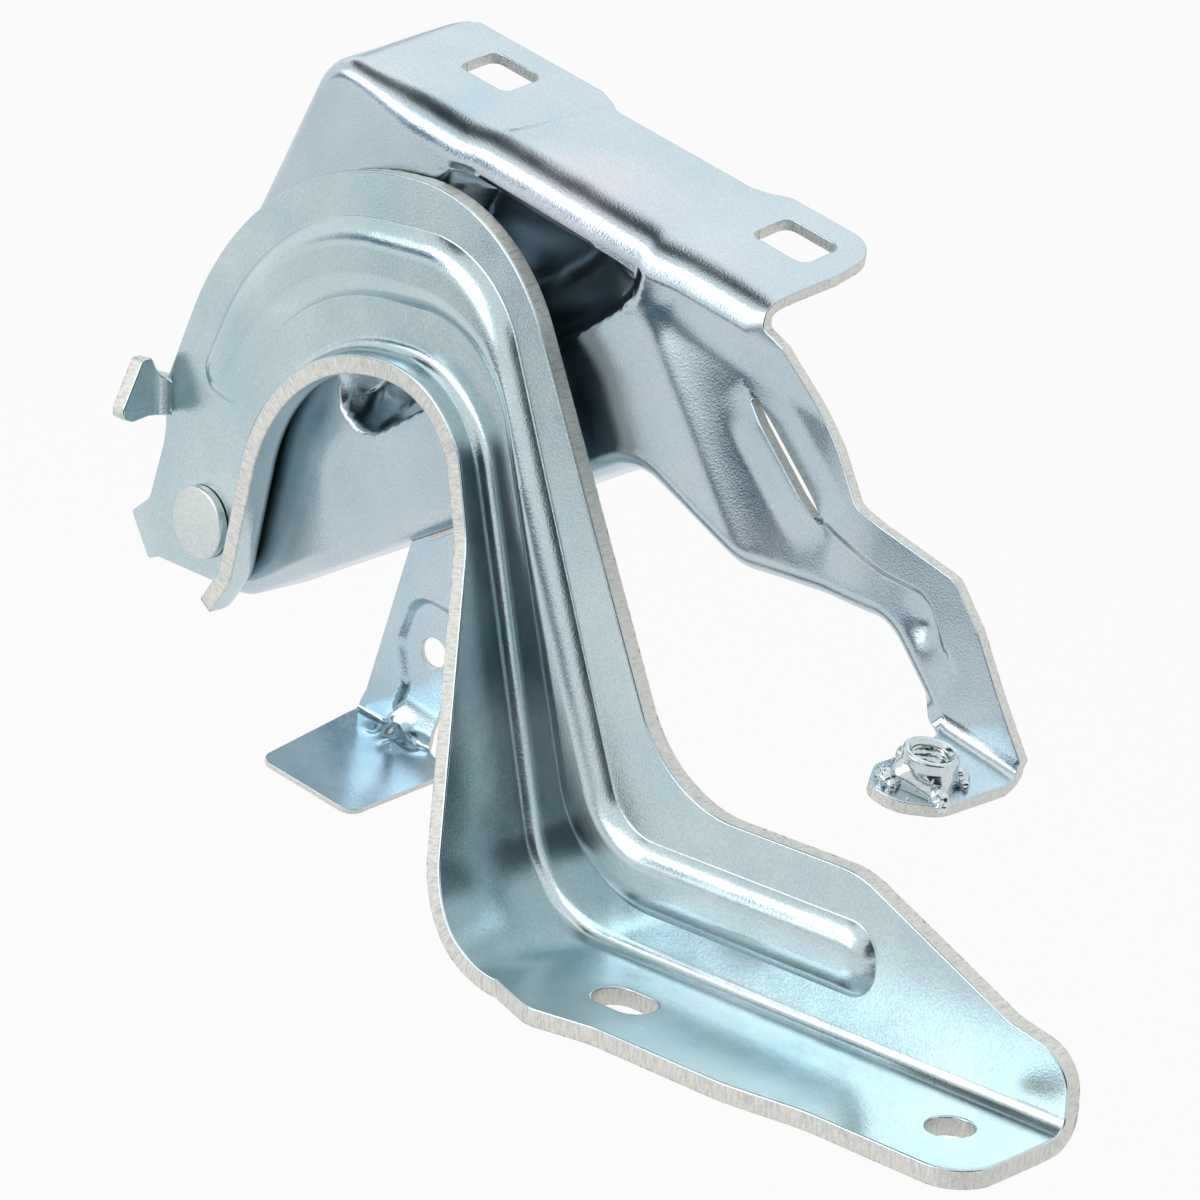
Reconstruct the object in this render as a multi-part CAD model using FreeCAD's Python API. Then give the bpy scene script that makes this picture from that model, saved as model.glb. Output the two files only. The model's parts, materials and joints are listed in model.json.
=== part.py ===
import FreeCAD, Part
import math
import os

# Bonnet hinge, gooseneck type: a pressed steel arm that turns on a riveted pin in a
# deep pressed body bracket, with a welded nut on the bracket's foot and a thin stay.
# Drawn in mm with the pivot axis along Y through the origin and the front face of the
# arm's web at Y = 0. The viewer's side is -Y, Z is up, the bonnet flange points along +X.
# The written parts are moved so that the middle of the body flange's face is the origin.

# gooseneck arm: one pressing of thick sheet
ARM_SHEET = 4.0
ARM_BEND_IN = 3.0
ARM_BEND_OUT = 6.5
FLANGE_LIP = 6.3
ARM_TOP = 84.8
NOSE_X = 240.0
SEAT_Z = -57.0
BEAD_RISE = 3.0
BEAD_ROUND = 2.4
BEAD_FOOT = 1.2

# bonnet flange, fastened with two M8 bolts
BONNET_BOLT = 8.0
BOLT_CLEARANCE = 1.0
HOLE_X = 223.5
HOLE_Y = -14.0
SLOT_X = 146.5
SLOT_Y = -17.9
SLOT_TRAVEL = 5.2
FLANGE_CORNER_WIDTH = 30.2
FLANGE_REAR_WIDTH = 34.6
FLANGE_MID_WIDTH = 31.7
FLANGE_FRONT_WIDTH = 29.0

# stop tab at the pivot end
TAB_X = -13.3
TAB_REACH = 11.2

# pivot stack
AXIAL_PLAY = 0.3
RUNNING_FIT = 0.05
PIN_R = 5.0
BUSH_WALL = 1.5
BUSH_FLANGE_R = 9.5
BUSH_FLANGE_T = 0.7
HEAD_R = 8.0
HEAD_T = 1.9
TAIL_R = 7.5
TAIL_T = 2.6
WASHER_R = 10.0
WASHER_T = 1.5

# body bracket: deep pressing, drawn in its own frame turned about the pivot
BRACKET_SHEET = 2.5
BRACKET_TURN = 13.6
BRACKET_DEPTH = 17.0
BRACKET_BEND = 4.0
TOP_W = 109.0
TOP_PITCH = 11.8
TOP_BEND = 5.0
TOP_LEFT_U = 8.0
TOP_RIGHT_U = 129.5
TOP_DEPTH = 33.4
TOP_WAIST = 2.6
WINDOW_U = 14.2
WINDOW_V = 10.2
WINDOW_ROUND = 2.2
WINDOW_LEFT_U = 32.1
WINDOW_RIGHT_U = 115.6
WINDOW_EDGE = 11.1
WINDOW_MID_V = TOP_DEPTH - WINDOW_EDGE
POCKET_DEPTH = 10.0
FOOT_W = 54.1
FOOT_REACH = 28.5
FOOT_LEFT_U = 196.0
FOOT_RIGHT_U = 212.0

# weld nut on the foot
NUT_THREAD = 8.0
NUT_U = 204.4
NUT_REACH = 18.5
NUT_BASE = 13.0
NUT_BASE_T = 3.4
NUT_COLLAR_R = 5.2
NUT_HEIGHT = 6.6
BEAD_BLOB_R = 2.0
NUT_TWIST = 20.0

# stay bracket, drawn from its own corner on the bracket's back
STAY_SHEET = 1.2
STAY_TURN = 8.0
STAY_U = 50.8
STAY_SETBACK = 4.6
STAY_FOOT_W = -22.5
STAY_TAB = 11.0
STAY_FOOT_LEN = 34.0
STAY_FOOT_WIDTH = 27.5
STAY_HOLE = 6.6

ARM_BACK = ARM_SHEET
BRACKET_FRONT = ARM_BACK + BUSH_FLANGE_T + AXIAL_PLAY
BRACKET_BACK = BRACKET_FRONT + BRACKET_SHEET
SEAT_UNDER = SEAT_Z - ARM_SHEET
BOLT_R = (BONNET_BOLT + BOLT_CLEARANCE) / 2.0
BUSH_IN_R = PIN_R + RUNNING_FIT
BUSH_OUT_R = BUSH_IN_R + BUSH_WALL


def V(x, y, z):
    return FreeCAD.Vector(x, y, z)


def in_xz(a, b, y=0.0):
    return V(a, y, b)


def in_xy(a, b, z=0.0):
    return V(a, b, z)


def in_yz(a, b, x=0.0):
    return V(x, a, b)


def rounded(corners, place, level=0.0, closed=True):
    """Edges of a line through the corners (a, b, radius), each corner rounded."""
    n = len(corners)
    starts = []
    ends = []
    mids = []
    for i, (a, b, r) in enumerate(corners):
        here = FreeCAD.Vector(a, b, 0)
        if (not closed and i in (0, n - 1)) or r <= 0:
            starts.append(here)
            ends.append(here)
            mids.append(None)
            continue
        before = FreeCAD.Vector(corners[i - 1][0], corners[i - 1][1], 0)
        after = FreeCAD.Vector(corners[(i + 1) % n][0], corners[(i + 1) % n][1], 0)
        u = (before - here).normalize()
        v = (after - here).normalize()
        half = u.getAngle(v) / 2.0
        reach = r / math.tan(half)
        middle = (u + v).normalize()
        starts.append(here + u * reach)
        ends.append(here + v * reach)
        mids.append(here + middle * (r / math.sin(half) - r))
    edges = []
    last = n if closed else n - 1
    for i in range(n):
        if mids[i] is not None:
            p, q, s = starts[i], mids[i], ends[i]
            arc = Part.Arc(place(p.x, p.y, level), place(q.x, q.y, level), place(s.x, s.y, level))
            edges.append(arc.toShape())
        if i < last:
            p = ends[i]
            q = starts[(i + 1) % n]
            if (p - q).Length > 1e-6:
                edges.append(Part.makeLine(place(p.x, p.y, level), place(q.x, q.y, level)))
    return edges


def slab(corners, place, level, along):
    """A flat plate with a rounded outline, thickened along a vector."""
    wire = Part.Wire(Part.__sortEdges__(rounded(corners, place, level)))
    return Part.Face(wire).extrude(along)


def beside(corners, offset):
    """The same open line moved sideways to its left by offset, radii kept concentric."""
    n = len(corners)
    lines = []
    for i in range(n - 1):
        p = FreeCAD.Vector(corners[i][0], corners[i][1], 0)
        q = FreeCAD.Vector(corners[i + 1][0], corners[i + 1][1], 0)
        d = (q - p).normalize()
        side = FreeCAD.Vector(-d.y, d.x, 0) * offset
        lines.append((p + side, q + side, d))
    moved = [(lines[0][0].x, lines[0][0].y, 0)]
    for i in range(1, n - 1):
        p, _, d = lines[i - 1]
        q, _, e = lines[i]
        cross = d.x * e.y - d.y * e.x
        t = ((q.x - p.x) * e.y - (q.y - p.y) * e.x) / cross
        meet = p + d * t
        radius = corners[i][2] - offset if cross > 0 else corners[i][2] + offset
        moved.append((meet.x, meet.y, radius))
    moved.append((lines[-1][1].x, lines[-1][1].y, 0))
    return moved


def near_edges(shape, guide, level, reach=0.05):
    """Edges of a solid that lie on a guide wire at one level of Y."""
    found = []
    for edge in shape.Edges:
        box = edge.BoundBox
        if abs(box.YMin - level) > 0.01 or abs(box.YMax - level) > 0.01:
            continue
        middle = edge.valueAt((edge.FirstParameter + edge.LastParameter) / 2.0)
        if guide.distToShape(Part.Vertex(middle))[0] < reach:
            found.append(edge)
    return found


# inner edge of the arm, from the tip by the pivot over the arch to the nose
ARCH = [
    (9.6, -16.8, 0),
    (16.0, -8.8, 12),
    (29.8, 44.8, 38),
    (77.5, 44.8, 20),
    (103.2, SEAT_UNDER, 26.5),
    (NOSE_X, SEAT_UNDER, 0),
]

# outer edge of the arm, from the nose back over the crown to the pivot plate
RIM = [
    (NOSE_X, -44.0, 9),
    (224.0, -40.4, 10),
    (187.0, -23.3, 20),
    (137.8, -23.3, 28),
    (88.0, ARM_TOP, 40),
    (14.5, ARM_TOP, 70),
    (-13.0, 28.3, 1),
    (-13.2, 16.0, 20),
    (-18.4, 1.0, 3),
    (-24.4, -3.2, 0.8),
    (-18.6, -12.8, 0.8),
    (-15.4, -11.6, 2),
    (2.6, -12.6, 4),
]

# raised bead of the web: outer line over the crown and down the neck, inner line back
BEAD = [
    (-3.0, 30.0, 6),
    (21.1, 75.3, 55),
    (86.3, 75.3, 28),
    (127.2, -32.5, 12),
    (193.0, -32.5, 7),
    (193.0, -48.0, 7),
    (114.1, -48.0, 28),
    (85.4, 59.0, 25),
    (29.1, 59.0, 46),
    (10.6, 27.0, 5),
]

# plan view of the bonnet flange's free edge
SEAT_PLAN = [
    (118.0, 12.0, 0),
    (118.0, -FLANGE_CORNER_WIDTH, 0),
    (123.0, -FLANGE_CORNER_WIDTH, 8),
    (136.5, -FLANGE_REAR_WIDTH, 9),
    (151.0, -FLANGE_MID_WIDTH, 14),
    (184.0, -FLANGE_MID_WIDTH, 40),
    (202.0, -FLANGE_FRONT_WIDTH, 40),
    (NOSE_X - 1.1, -FLANGE_FRONT_WIDTH, 9),
    (NOSE_X - 1.1, -8.0, 20),
    (NOSE_X - 2.6, 4.0, 0),
    (NOSE_X - 2.6, 12.0, 0),
]

# side view of the neck flange's free edge, (Y, Z) from the crown down to the bonnet flange
NECK_SIDE = [
    (12.0, 34.0, 0),
    (-FLANGE_LIP, 34.0, 0),
    (-FLANGE_LIP - 0.8, 18.0, 25),
    (1.0 - FLANGE_CORNER_WIDTH, -52.5, 14),
    (-FLANGE_CORNER_WIDTH, -66.0, 0),
    (12.0, -66.0, 0),
]

# stop tab outline, (Y, Z)
TAB = [
    (ARM_SHEET, 21.0, 0),
    (-8.6, 20.4, 2),
    (-TAB_REACH, 21.4, 1),
    (-TAB_REACH, 23.4, 1.5),
    (-5.9, 33.6, 1.2),
    (-3.6, 33.6, 1.2),
    (-1.6, 29.8, 0.8),
    (0.0, 28.0, 0),
    (ARM_SHEET, 28.0, 0),
]


def arm_keep_space():
    lip = Part.makeBox(140.0, FLANGE_LIP + 12.0, 130.0, V(-40.0, -FLANGE_LIP, -30.0))
    lip = lip.cut(Part.makeBox(80.0, 60.0, 60.0, V(84.0, -40.0, -30.0)))
    neck = slab(NECK_SIDE, in_yz, 60.0, V(58.0, 0, 0))
    seat = slab(SEAT_PLAN, in_xy, -64.0, V(0, 0, 16.0))
    web = Part.makeBox(300.0, 30.0, 170.0, V(-50.0, 0.0, -70.0))
    return lip.fuse([neck, seat, web])


def raised_bead(web):
    pad = slab(BEAD, in_xz, 0.5, V(0, -0.5 - BEAD_RISE, 0))
    ring = Part.Wire(Part.__sortEdges__(rounded(BEAD, in_xz, -BEAD_RISE)))
    pad = pad.makeFillet(BEAD_ROUND, near_edges(pad, ring, -BEAD_RISE))
    hollow_line = Part.Wire(Part.__sortEdges__(rounded(BEAD, in_xz, ARM_SHEET + 1.0)))
    inset = hollow_line.makeOffset2D(-BEAD_FOOT - 1.2)
    depth = BEAD_RISE + 1.0
    hollow = Part.Face(inset).extrude(V(0, -depth, 0))
    return web.fuse(pad).cut(hollow)


def gooseneck_arm():
    # the bend starts on spare sheet below the pivot plate, which is trimmed off afterwards
    inner = [(3.2, -24.8, 0)] + ARCH[1:]
    outer = beside(inner, ARM_SHEET)
    web_line = inner + RIM[:-1] + [(-7.8, -12.03, 0), (-7.8, -16.0, 0)]
    web = slab(web_line, in_xz, 0.0, V(0, ARM_SHEET, 0))
    end = outer[::-1]
    band = slab(inner + end, in_xz, -46.0, V(0, 46.0 + ARM_SHEET, 0))
    body = web.fuse(band).removeSplitter()
    concave = Part.Wire(Part.__sortEdges__(rounded(outer, in_xz, 0.0, False)))
    convex = Part.Wire(Part.__sortEdges__(rounded(inner, in_xz, ARM_SHEET, False)))
    body = body.makeFillet(ARM_BEND_IN, near_edges(body, concave, 0.0))
    body = body.makeFillet(ARM_BEND_OUT, near_edges(body, convex, ARM_SHEET))
    spare = [(-9.0, -11.96, 0), RIM[-1], ARCH[0], (17.0, -21.0, 0), (17.0, -40.0, 0), (-9.0, -40.0, 0)]
    body = body.cut(slab(spare, in_xz, -60.0, V(0, 80.0, 0)))
    body = body.common(arm_keep_space())
    body = raised_bead(body)
    tab = slab(TAB, in_yz, TAB_X - ARM_SHEET, V(ARM_SHEET, 0, 0))
    root = Part.makeBox(6.0, ARM_SHEET, 7.0, V(TAB_X - ARM_SHEET + 1.0, 0.0, 21.0))
    body = body.fuse([tab, root])
    body = body.cut(Part.makeCylinder(BUSH_OUT_R, 20.0, V(0, -8.0, 0), V(0, 1, 0)))
    body = body.cut(Part.makeCylinder(BOLT_R, 20.0, V(HOLE_X, HOLE_Y, SEAT_Z - 10.0)))
    half = SLOT_TRAVEL / 2.0
    slot = Part.makeBox(SLOT_TRAVEL, 2.0 * BOLT_R, 20.0, V(SLOT_X - half, SLOT_Y - BOLT_R, SEAT_Z - 10.0))
    for side in (-half, half):
        slot = slot.fuse(Part.makeCylinder(BOLT_R, 20.0, V(SLOT_X + side, SLOT_Y, SEAT_Z - 10.0)))
    return body.cut(slot).removeSplitter()


# body bracket outline in its own frame (U, W), clockwise from the top left corner
BRACKET = [
    (3.6, TOP_W - 7.0, 9),
    (9.5, TOP_W - 5.2, 3),
    (128.0, TOP_W - 5.2, 0),
    (133.5, 103.8, 3),
    (158.5, 83.0, 5),
    (186.5, FOOT_W + 26.5, 4),
    (210.5, FOOT_W + 0.9, 2),
    (210.5, FOOT_W - BRACKET_SHEET, 0),
    (190.5, FOOT_W - BRACKET_SHEET, 0),
    (172.0, FOOT_W + 10.4, 8),
    (137.0, 57.8, 14),
    (105.0, 64.0, 14),
    (9.0, -15.5, 10),
    (-13.0, -15.5, 12),
    (-16.0, 38.0, 14),
]

# the straight lower side runs from this corner of the outline to the next
LOWER_CORNER = 11

# strip along the right edge and the top that stays flat, with no return flange
OPEN_EDGE = [
    (9.0, TOP_W - 12.0, 0),
    (127.0, TOP_W - 12.0, 0),
    (155.0, 78.0, 0),
    (183.0, FOOT_W + 21.5, 0),
    (200.0, FOOT_W + 3.9, 0),
    (186.0, FOOT_W - 1.1, 0),
    (186.0, FOOT_W - 10.1, 0),
    (230.0, FOOT_W - 10.1, 0),
    (230.0, 130.0, 0),
    (9.0, 130.0, 0),
]

# pocket pressed back behind the arm's crown
POCKET = [
    (45.0, 103.5, 6),
    (97.0, 103.5, 4),
    (97.0, 95.5, 6),
    (17.5, 18.8, 8),
]


def lower_side(u):
    """The point of the bracket's straight lower side at one U."""
    (u1, w1, _), (u0, w0, _) = BRACKET[LOWER_CORNER], BRACKET[LOWER_CORNER + 1]
    return (u, w0 + (u - u0) * (w1 - w0) / (u1 - u0))


def along(corners, extra):
    wire = Part.Wire(Part.__sortEdges__(rounded(corners, in_xz, 0.0)))
    return wire.makeOffset2D(extra) if extra else wire


def pressed_shell():
    depth = BRACKET_DEPTH
    outer = slab(BRACKET, in_xz, BRACKET_FRONT, V(0, depth, 0))
    rim = Part.Wire(Part.__sortEdges__(rounded(BRACKET, in_xz, BRACKET_FRONT)))
    round_edges = []
    for edge in near_edges(outer, rim, BRACKET_FRONT):
        middle = edge.valueAt((edge.FirstParameter + edge.LastParameter) / 2.0)
        lower = middle.x < 186.0 and middle.z < 0.83 * middle.x - 15.0
        left = middle.x < 4.0
        if lower or left:
            round_edges.append(edge)
    outer = outer.makeFillet(BRACKET_BEND, round_edges)
    inside = Part.Face(along(BRACKET, -BRACKET_SHEET)).extrude(V(0, depth, 0))
    inside.translate(V(0, BRACKET_BACK, 0))
    open_edge = slab(OPEN_EDGE, in_xz, BRACKET_BACK, V(0, depth, 0))
    return outer.cut(inside).cut(open_edge)


def top_flange():
    """The rear flange with its bend: a folded strip trimmed to its plan outline."""
    pitch = math.radians(TOP_PITCH)
    run = TOP_DEPTH + 12.0
    fold = [
        (BRACKET_FRONT, TOP_W - 12.0, 0),
        (BRACKET_FRONT, TOP_W, TOP_BEND),
        (BRACKET_FRONT + run * math.cos(pitch), TOP_W + run * math.sin(pitch), 0),
    ]
    under = beside(fold, -BRACKET_SHEET)
    width = TOP_RIGHT_U - TOP_LEFT_U + 4.0
    strip = slab(fold + under[::-1], in_yz, TOP_LEFT_U - 2.0, V(width, 0, 0))
    waist = TOP_DEPTH - TOP_WAIST
    plan = [
        (TOP_LEFT_U + 0.7, -14.0, 0),
        (TOP_LEFT_U, TOP_DEPTH, 8),
        (50.5, TOP_DEPTH, 7),
        (57.5, waist, 7),
        (95.5, waist, 7),
        (103.5, TOP_DEPTH, 7),
        (TOP_RIGHT_U - 1.5, TOP_DEPTH, 9),
        (TOP_RIGHT_U, 22.0, 9),
        (TOP_RIGHT_U - 1.2, -14.0, 0),
    ]
    keep = slab(plan, in_xy, -40.0, V(0, 0, 80.0))
    for middle in (WINDOW_LEFT_U, WINDOW_RIGHT_U):
        a = middle - WINDOW_U / 2.0
        b = middle + WINDOW_U / 2.0
        c = WINDOW_MID_V - WINDOW_V / 2.0
        d = WINDOW_MID_V + WINDOW_V / 2.0
        r = WINDOW_ROUND
        window = slab([(a, c, r), (b, c, r), (b, d, r), (a, d, r)], in_xy, -50.0, V(0, 0, 100.0))
        keep = keep.cut(window)
    keep.rotate(V(0, 0, 0), V(1, 0, 0), TOP_PITCH)
    keep.translate(V(0, BRACKET_FRONT, TOP_W))
    return strip.common(keep)


def foot_tab():
    y0 = BRACKET_BACK
    y1 = BRACKET_FRONT - FOOT_REACH
    plan = [
        (FOOT_LEFT_U - 4.0, y0, 0),
        (FOOT_RIGHT_U - 1.5, y0, 0),
        (FOOT_RIGHT_U, y0 - 6.0, 2),
        (FOOT_RIGHT_U, y1 + 7.0, 8),
        (FOOT_RIGHT_U - 5.5, y1, 6),
        (FOOT_LEFT_U + 4.0, y1, 4),
        (FOOT_LEFT_U - 0.2, y1 + 6.5, 5),
        (FOOT_LEFT_U - 0.2, y0 - 12.0, 10),
        (FOOT_LEFT_U - 4.0, y0 - 4.0, 3),
    ]
    plate = slab(plan, in_xy, FOOT_W - BRACKET_SHEET, V(0, 0, BRACKET_SHEET))
    hole_r = NUT_THREAD / 2.0 + 0.5
    hole = Part.makeCylinder(hole_r, 20.0, V(NUT_U, BRACKET_FRONT - NUT_REACH, FOOT_W - 10.0))
    return plate.cut(hole)


def body_bracket():
    shell = pressed_shell()
    floor = POCKET_DEPTH + BRACKET_SHEET
    cup = Part.Face(along(POCKET, BRACKET_SHEET)).extrude(V(0, floor, 0))
    cup.translate(V(0, BRACKET_FRONT, 0))
    hollow = Part.Face(along(POCKET, 0)).extrude(V(0, POCKET_DEPTH + 1.0, 0))
    hollow.translate(V(0, BRACKET_FRONT - 1.0, 0))
    shell = shell.fuse([cup, top_flange(), foot_tab()]).cut(hollow)
    slit = slab([(130.2, 89.6, 0.5), (131.6, 90.0, 0.5), (150.6, 76.0, 0.5), (149.4, 75.2, 0.5)],
                in_xz, 0.0, V(0, 12.0, 0))
    pin_hole = Part.makeCylinder(PIN_R, 40.0, V(0, -5.0, 0), V(0, 1, 0))
    shell = shell.cut(slit).cut(pin_hole)
    shell.rotate(V(0, 0, 0), V(0, 1, 0), BRACKET_TURN)
    return shell.removeSplitter()


def stay_bracket():
    low = STAY_FOOT_W
    blade = [
        (0.9, 48.6, 3),
        (13.0, 48.6, 3),
        (17.0, 0.6, 6),
        (15.5, low + 6.0, 4),
        (15.5, low - STAY_SHEET, 0),
        (-4.0, low - STAY_SHEET, 0),
        (-3.0, low + 5.0, 3),
        (0.4, 20.6, 10),
    ]
    plate = slab(blade, in_xz, 0.0, V(0, STAY_SHEET, 0))
    reach = STAY_FOOT_LEN
    foot = [
        (-4.0, STAY_SHEET, 0),
        (-4.0, -3.0, 2),
        (-1.5, -reach, 3.5),
        (STAY_FOOT_WIDTH - 4.0, -reach, 3.5),
        (STAY_FOOT_WIDTH - 3.0, -4.0, 3),
        (15.5, STAY_SHEET, 0),
    ]
    tab = slab(foot, in_xy, low - STAY_SHEET, V(0, 0, STAY_SHEET))
    gusset = Part.makeCylinder(2.6, 9.0, V(6.0, 0.6, low + 3.0), V(0, -0.62, -0.78))
    gusset = gusset.common(Part.makeBox(10.0, 8.0, 5.0, V(1.0, -7.0, low - 0.4)))
    shape = plate.fuse([tab, gusset])
    hole = Part.makeCylinder(STAY_HOLE / 2.0, 8.0, V(10.9, -3.0, -2.2), V(0, 1, 0))
    shape = shape.cut(hole)
    shape.rotate(V(0, 0, 0), V(0, 0, 1), STAY_TURN)
    y0 = BRACKET_FRONT + STAY_SETBACK
    shape.translate(V(STAY_U, y0, 0))
    # the blade ends under the bracket's lower return, where a folded tab is spot welded
    left = lower_side(STAY_U - 30.0)
    right = lower_side(STAY_U + 60.0)
    above = slab([left + (0,), right + (0,), (right[0], 120.0, 0), (left[0], 120.0, 0)],
                 in_xz, 0.0, V(0, 60.0, 0))
    shape = shape.cut(above)
    a = lower_side(STAY_U + 1.0)
    b = lower_side(STAY_U + 14.5)
    drop_u = STAY_SHEET * (b[1] - a[1]) / math.dist(a, b)
    drop_w = STAY_SHEET * (b[0] - a[0]) / math.dist(a, b)
    fold = [a + (0,), b + (0,), (b[0] + drop_u, b[1] - drop_w, 0), (a[0] + drop_u, a[1] - drop_w, 0)]
    shape = shape.fuse(slab(fold, in_xz, y0 + 0.3, V(0, STAY_TAB, 0)))
    shape.rotate(V(0, 0, 0), V(0, 1, 0), BRACKET_TURN)
    return shape


def pivot_rivet():
    y0 = -AXIAL_PLAY - HEAD_T
    head = Part.makeCylinder(HEAD_R, HEAD_T, V(0, y0, 0), V(0, 1, 0))
    crown = [e for e in head.Edges if abs(e.BoundBox.YMax - y0) < 0.01 and e.Length > 20.0]
    head = head.makeFillet(0.6, crown)
    tail_y = BRACKET_BACK + WASHER_T
    shank = Part.makeCylinder(PIN_R, tail_y + 1.0 + AXIAL_PLAY, V(0, -AXIAL_PLAY - 0.5, 0), V(0, 1, 0))
    tail = Part.makeCylinder(TAIL_R, TAIL_T, V(0, tail_y, 0), V(0, 1, 0))
    far = [e for e in tail.Edges if abs(e.BoundBox.YMin - tail_y - TAIL_T) < 0.01 and e.Length > 20.0]
    tail = tail.makeFillet(1.6, far)
    return head.fuse([shank, tail]).removeSplitter()


def pivot_bush():
    sleeve = Part.makeCylinder(BUSH_OUT_R, ARM_SHEET, V(0, 0, 0), V(0, 1, 0))
    flange = Part.makeCylinder(BUSH_FLANGE_R, BUSH_FLANGE_T, V(0, ARM_BACK, 0), V(0, 1, 0))
    bore = Part.makeCylinder(BUSH_IN_R, 20.0, V(0, -5.0, 0), V(0, 1, 0))
    return sleeve.fuse(flange).cut(bore).removeSplitter()


def back_washer():
    disc = Part.makeCylinder(WASHER_R, WASHER_T, V(0, BRACKET_BACK, 0), V(0, 1, 0))
    return disc.cut(Part.makeCylinder(PIN_R, 30.0, V(0, 0, 0), V(0, 1, 0)))


def nut_place(shape):
    shape.translate(V(NUT_U, BRACKET_FRONT - NUT_REACH, FOOT_W))
    shape.rotate(V(0, 0, 0), V(0, 1, 0), BRACKET_TURN)
    return shape


def nut_base():
    """The tapered square base of the nut, turned as it was welded."""
    h = NUT_BASE / 2.0
    low = Part.makePolygon([V(-h, -h, 0), V(h, -h, 0), V(h, h, 0), V(-h, h, 0), V(-h, -h, 0)])
    t = NUT_COLLAR_R * 1.02
    top = NUT_BASE_T
    high = Part.makePolygon([V(-t, -t, top), V(t, -t, top), V(t, t, top), V(-t, t, top), V(-t, -t, top)])
    base = Part.makeLoft([low, high], True, True)
    base.rotate(V(0, 0, 0), V(0, 0, 1), NUT_TWIST)
    return base


def weld_nut():
    collar = Part.makeCylinder(NUT_COLLAR_R, NUT_HEIGHT)
    thread_r = (NUT_THREAD - 1.25 * 1.0825) / 2.0
    bore = Part.makeCylinder(thread_r, 20.0, V(0, 0, -5.0))
    mouth = Part.makeCone(thread_r, NUT_THREAD / 2.0 + 0.2, 0.8, V(0, 0, NUT_HEIGHT - 0.8))
    nut = nut_base().fuse(collar).cut(bore).cut(mouth)
    return nut_place(nut.removeSplitter())


def nut_weld_beads():
    h = NUT_BASE / 2.0
    keep = Part.makeBox(40.0, 40.0, 10.0, V(-20.0, -20.0, 0.0))
    beads = []
    for sx, sy in ((-1, -1), (1, -1), (1, 1), (-1, 1)):
        bead = Part.makeSphere(BEAD_BLOB_R, V(sx * h, sy * h, 0.3 * BEAD_BLOB_R))
        bead.rotate(V(0, 0, 0), V(0, 0, 1), NUT_TWIST)
        beads.append(bead.common(keep).cut(nut_base()))
    return nut_place(Part.makeCompound(beads))


def body_seat():
    """The middle of the body flange's face, between its two windows."""
    pitch = math.radians(TOP_PITCH)
    turn = math.radians(BRACKET_TURN)
    u = (WINDOW_LEFT_U + WINDOW_RIGHT_U) / 2.0
    w = TOP_W + WINDOW_MID_V * math.sin(pitch)
    y = BRACKET_FRONT + WINDOW_MID_V * math.cos(pitch)
    return V(u * math.cos(turn) + w * math.sin(turn), y, w * math.cos(turn) - u * math.sin(turn))


def write(name, shape):
    shape.translate(-body_seat())
    shape.exportStep(os.path.join("parts", name + ".step"))
    box = shape.BoundBox
    print(name, "solids", len(shape.Solids), "valid", shape.isValid(),
          "volume", round(shape.Volume, 1), "box",
          [round(v, 1) for v in (box.XMin, box.XMax, box.YMin, box.YMax, box.ZMin, box.ZMax)])


os.makedirs("parts", exist_ok=True)
write("gooseneck_arm", gooseneck_arm())
write("body_bracket", body_bracket())
write("stay_bracket", stay_bracket())
write("pivot_rivet", pivot_rivet())
write("pivot_bush", pivot_bush())
write("back_washer", back_washer())
write("weld_nut", weld_nut())
write("nut_weld_beads", nut_weld_beads())
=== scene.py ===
import json
import math

import bpy
import numpy as np
from mathutils import Matrix, Vector
from mathutils.geometry import delaunay_2d_cdt


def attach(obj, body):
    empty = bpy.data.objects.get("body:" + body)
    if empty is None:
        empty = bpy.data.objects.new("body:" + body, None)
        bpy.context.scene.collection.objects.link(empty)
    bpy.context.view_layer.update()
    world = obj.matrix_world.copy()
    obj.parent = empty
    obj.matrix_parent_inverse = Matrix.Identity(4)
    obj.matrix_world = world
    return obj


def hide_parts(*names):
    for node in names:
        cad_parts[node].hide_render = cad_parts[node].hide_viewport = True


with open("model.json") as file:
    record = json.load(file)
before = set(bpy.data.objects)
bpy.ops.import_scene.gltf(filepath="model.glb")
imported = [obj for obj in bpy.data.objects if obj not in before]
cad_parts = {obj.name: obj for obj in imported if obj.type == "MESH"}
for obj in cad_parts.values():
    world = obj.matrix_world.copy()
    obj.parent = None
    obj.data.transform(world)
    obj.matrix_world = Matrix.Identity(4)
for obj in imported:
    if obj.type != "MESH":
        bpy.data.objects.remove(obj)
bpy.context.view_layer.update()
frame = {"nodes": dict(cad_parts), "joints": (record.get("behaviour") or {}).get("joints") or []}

# Body bracket: deep-drawn 2.5 mm sheet steel, zinc plated, bolted to the car body by its rear flange.
# It has a drawn pocket, a lanced louvre, returned edges, a leg and a foot tab.
# It is drawn flat in its own directions U and W, and folded from there.
PIVOT = np.array(frame["joints"][0]["pos_m"])
BRACKET_TURN = math.radians(13.6)
BRACKET_SHEET = 2.5
PLATE_Y = 5.0
RETURN_BEND = 4.0
RETURN_REACH = 19.3
TOP_BEND = 5.0
TOP_ANGLE = math.radians(78.2)
TOP_LINE = 104.94
TOP_REACH = 36.16
FOOT_LINE = 56.1
FOOT_BEND = 2.0
POCKET_DEPTH = 10.0

# flat boundary of the returned edges: down the left side, along the lower side to the leg
RETURN_EDGE = [
    (-17.5, 40.0, 14), (-13.0, -15.5, 12), (9.0, -15.5, 10), (105.0, 64.0, 14),
    (137.0, 57.8, 14), (172.0, 64.5, 8), (189.5, 52.3, 0),
]
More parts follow.
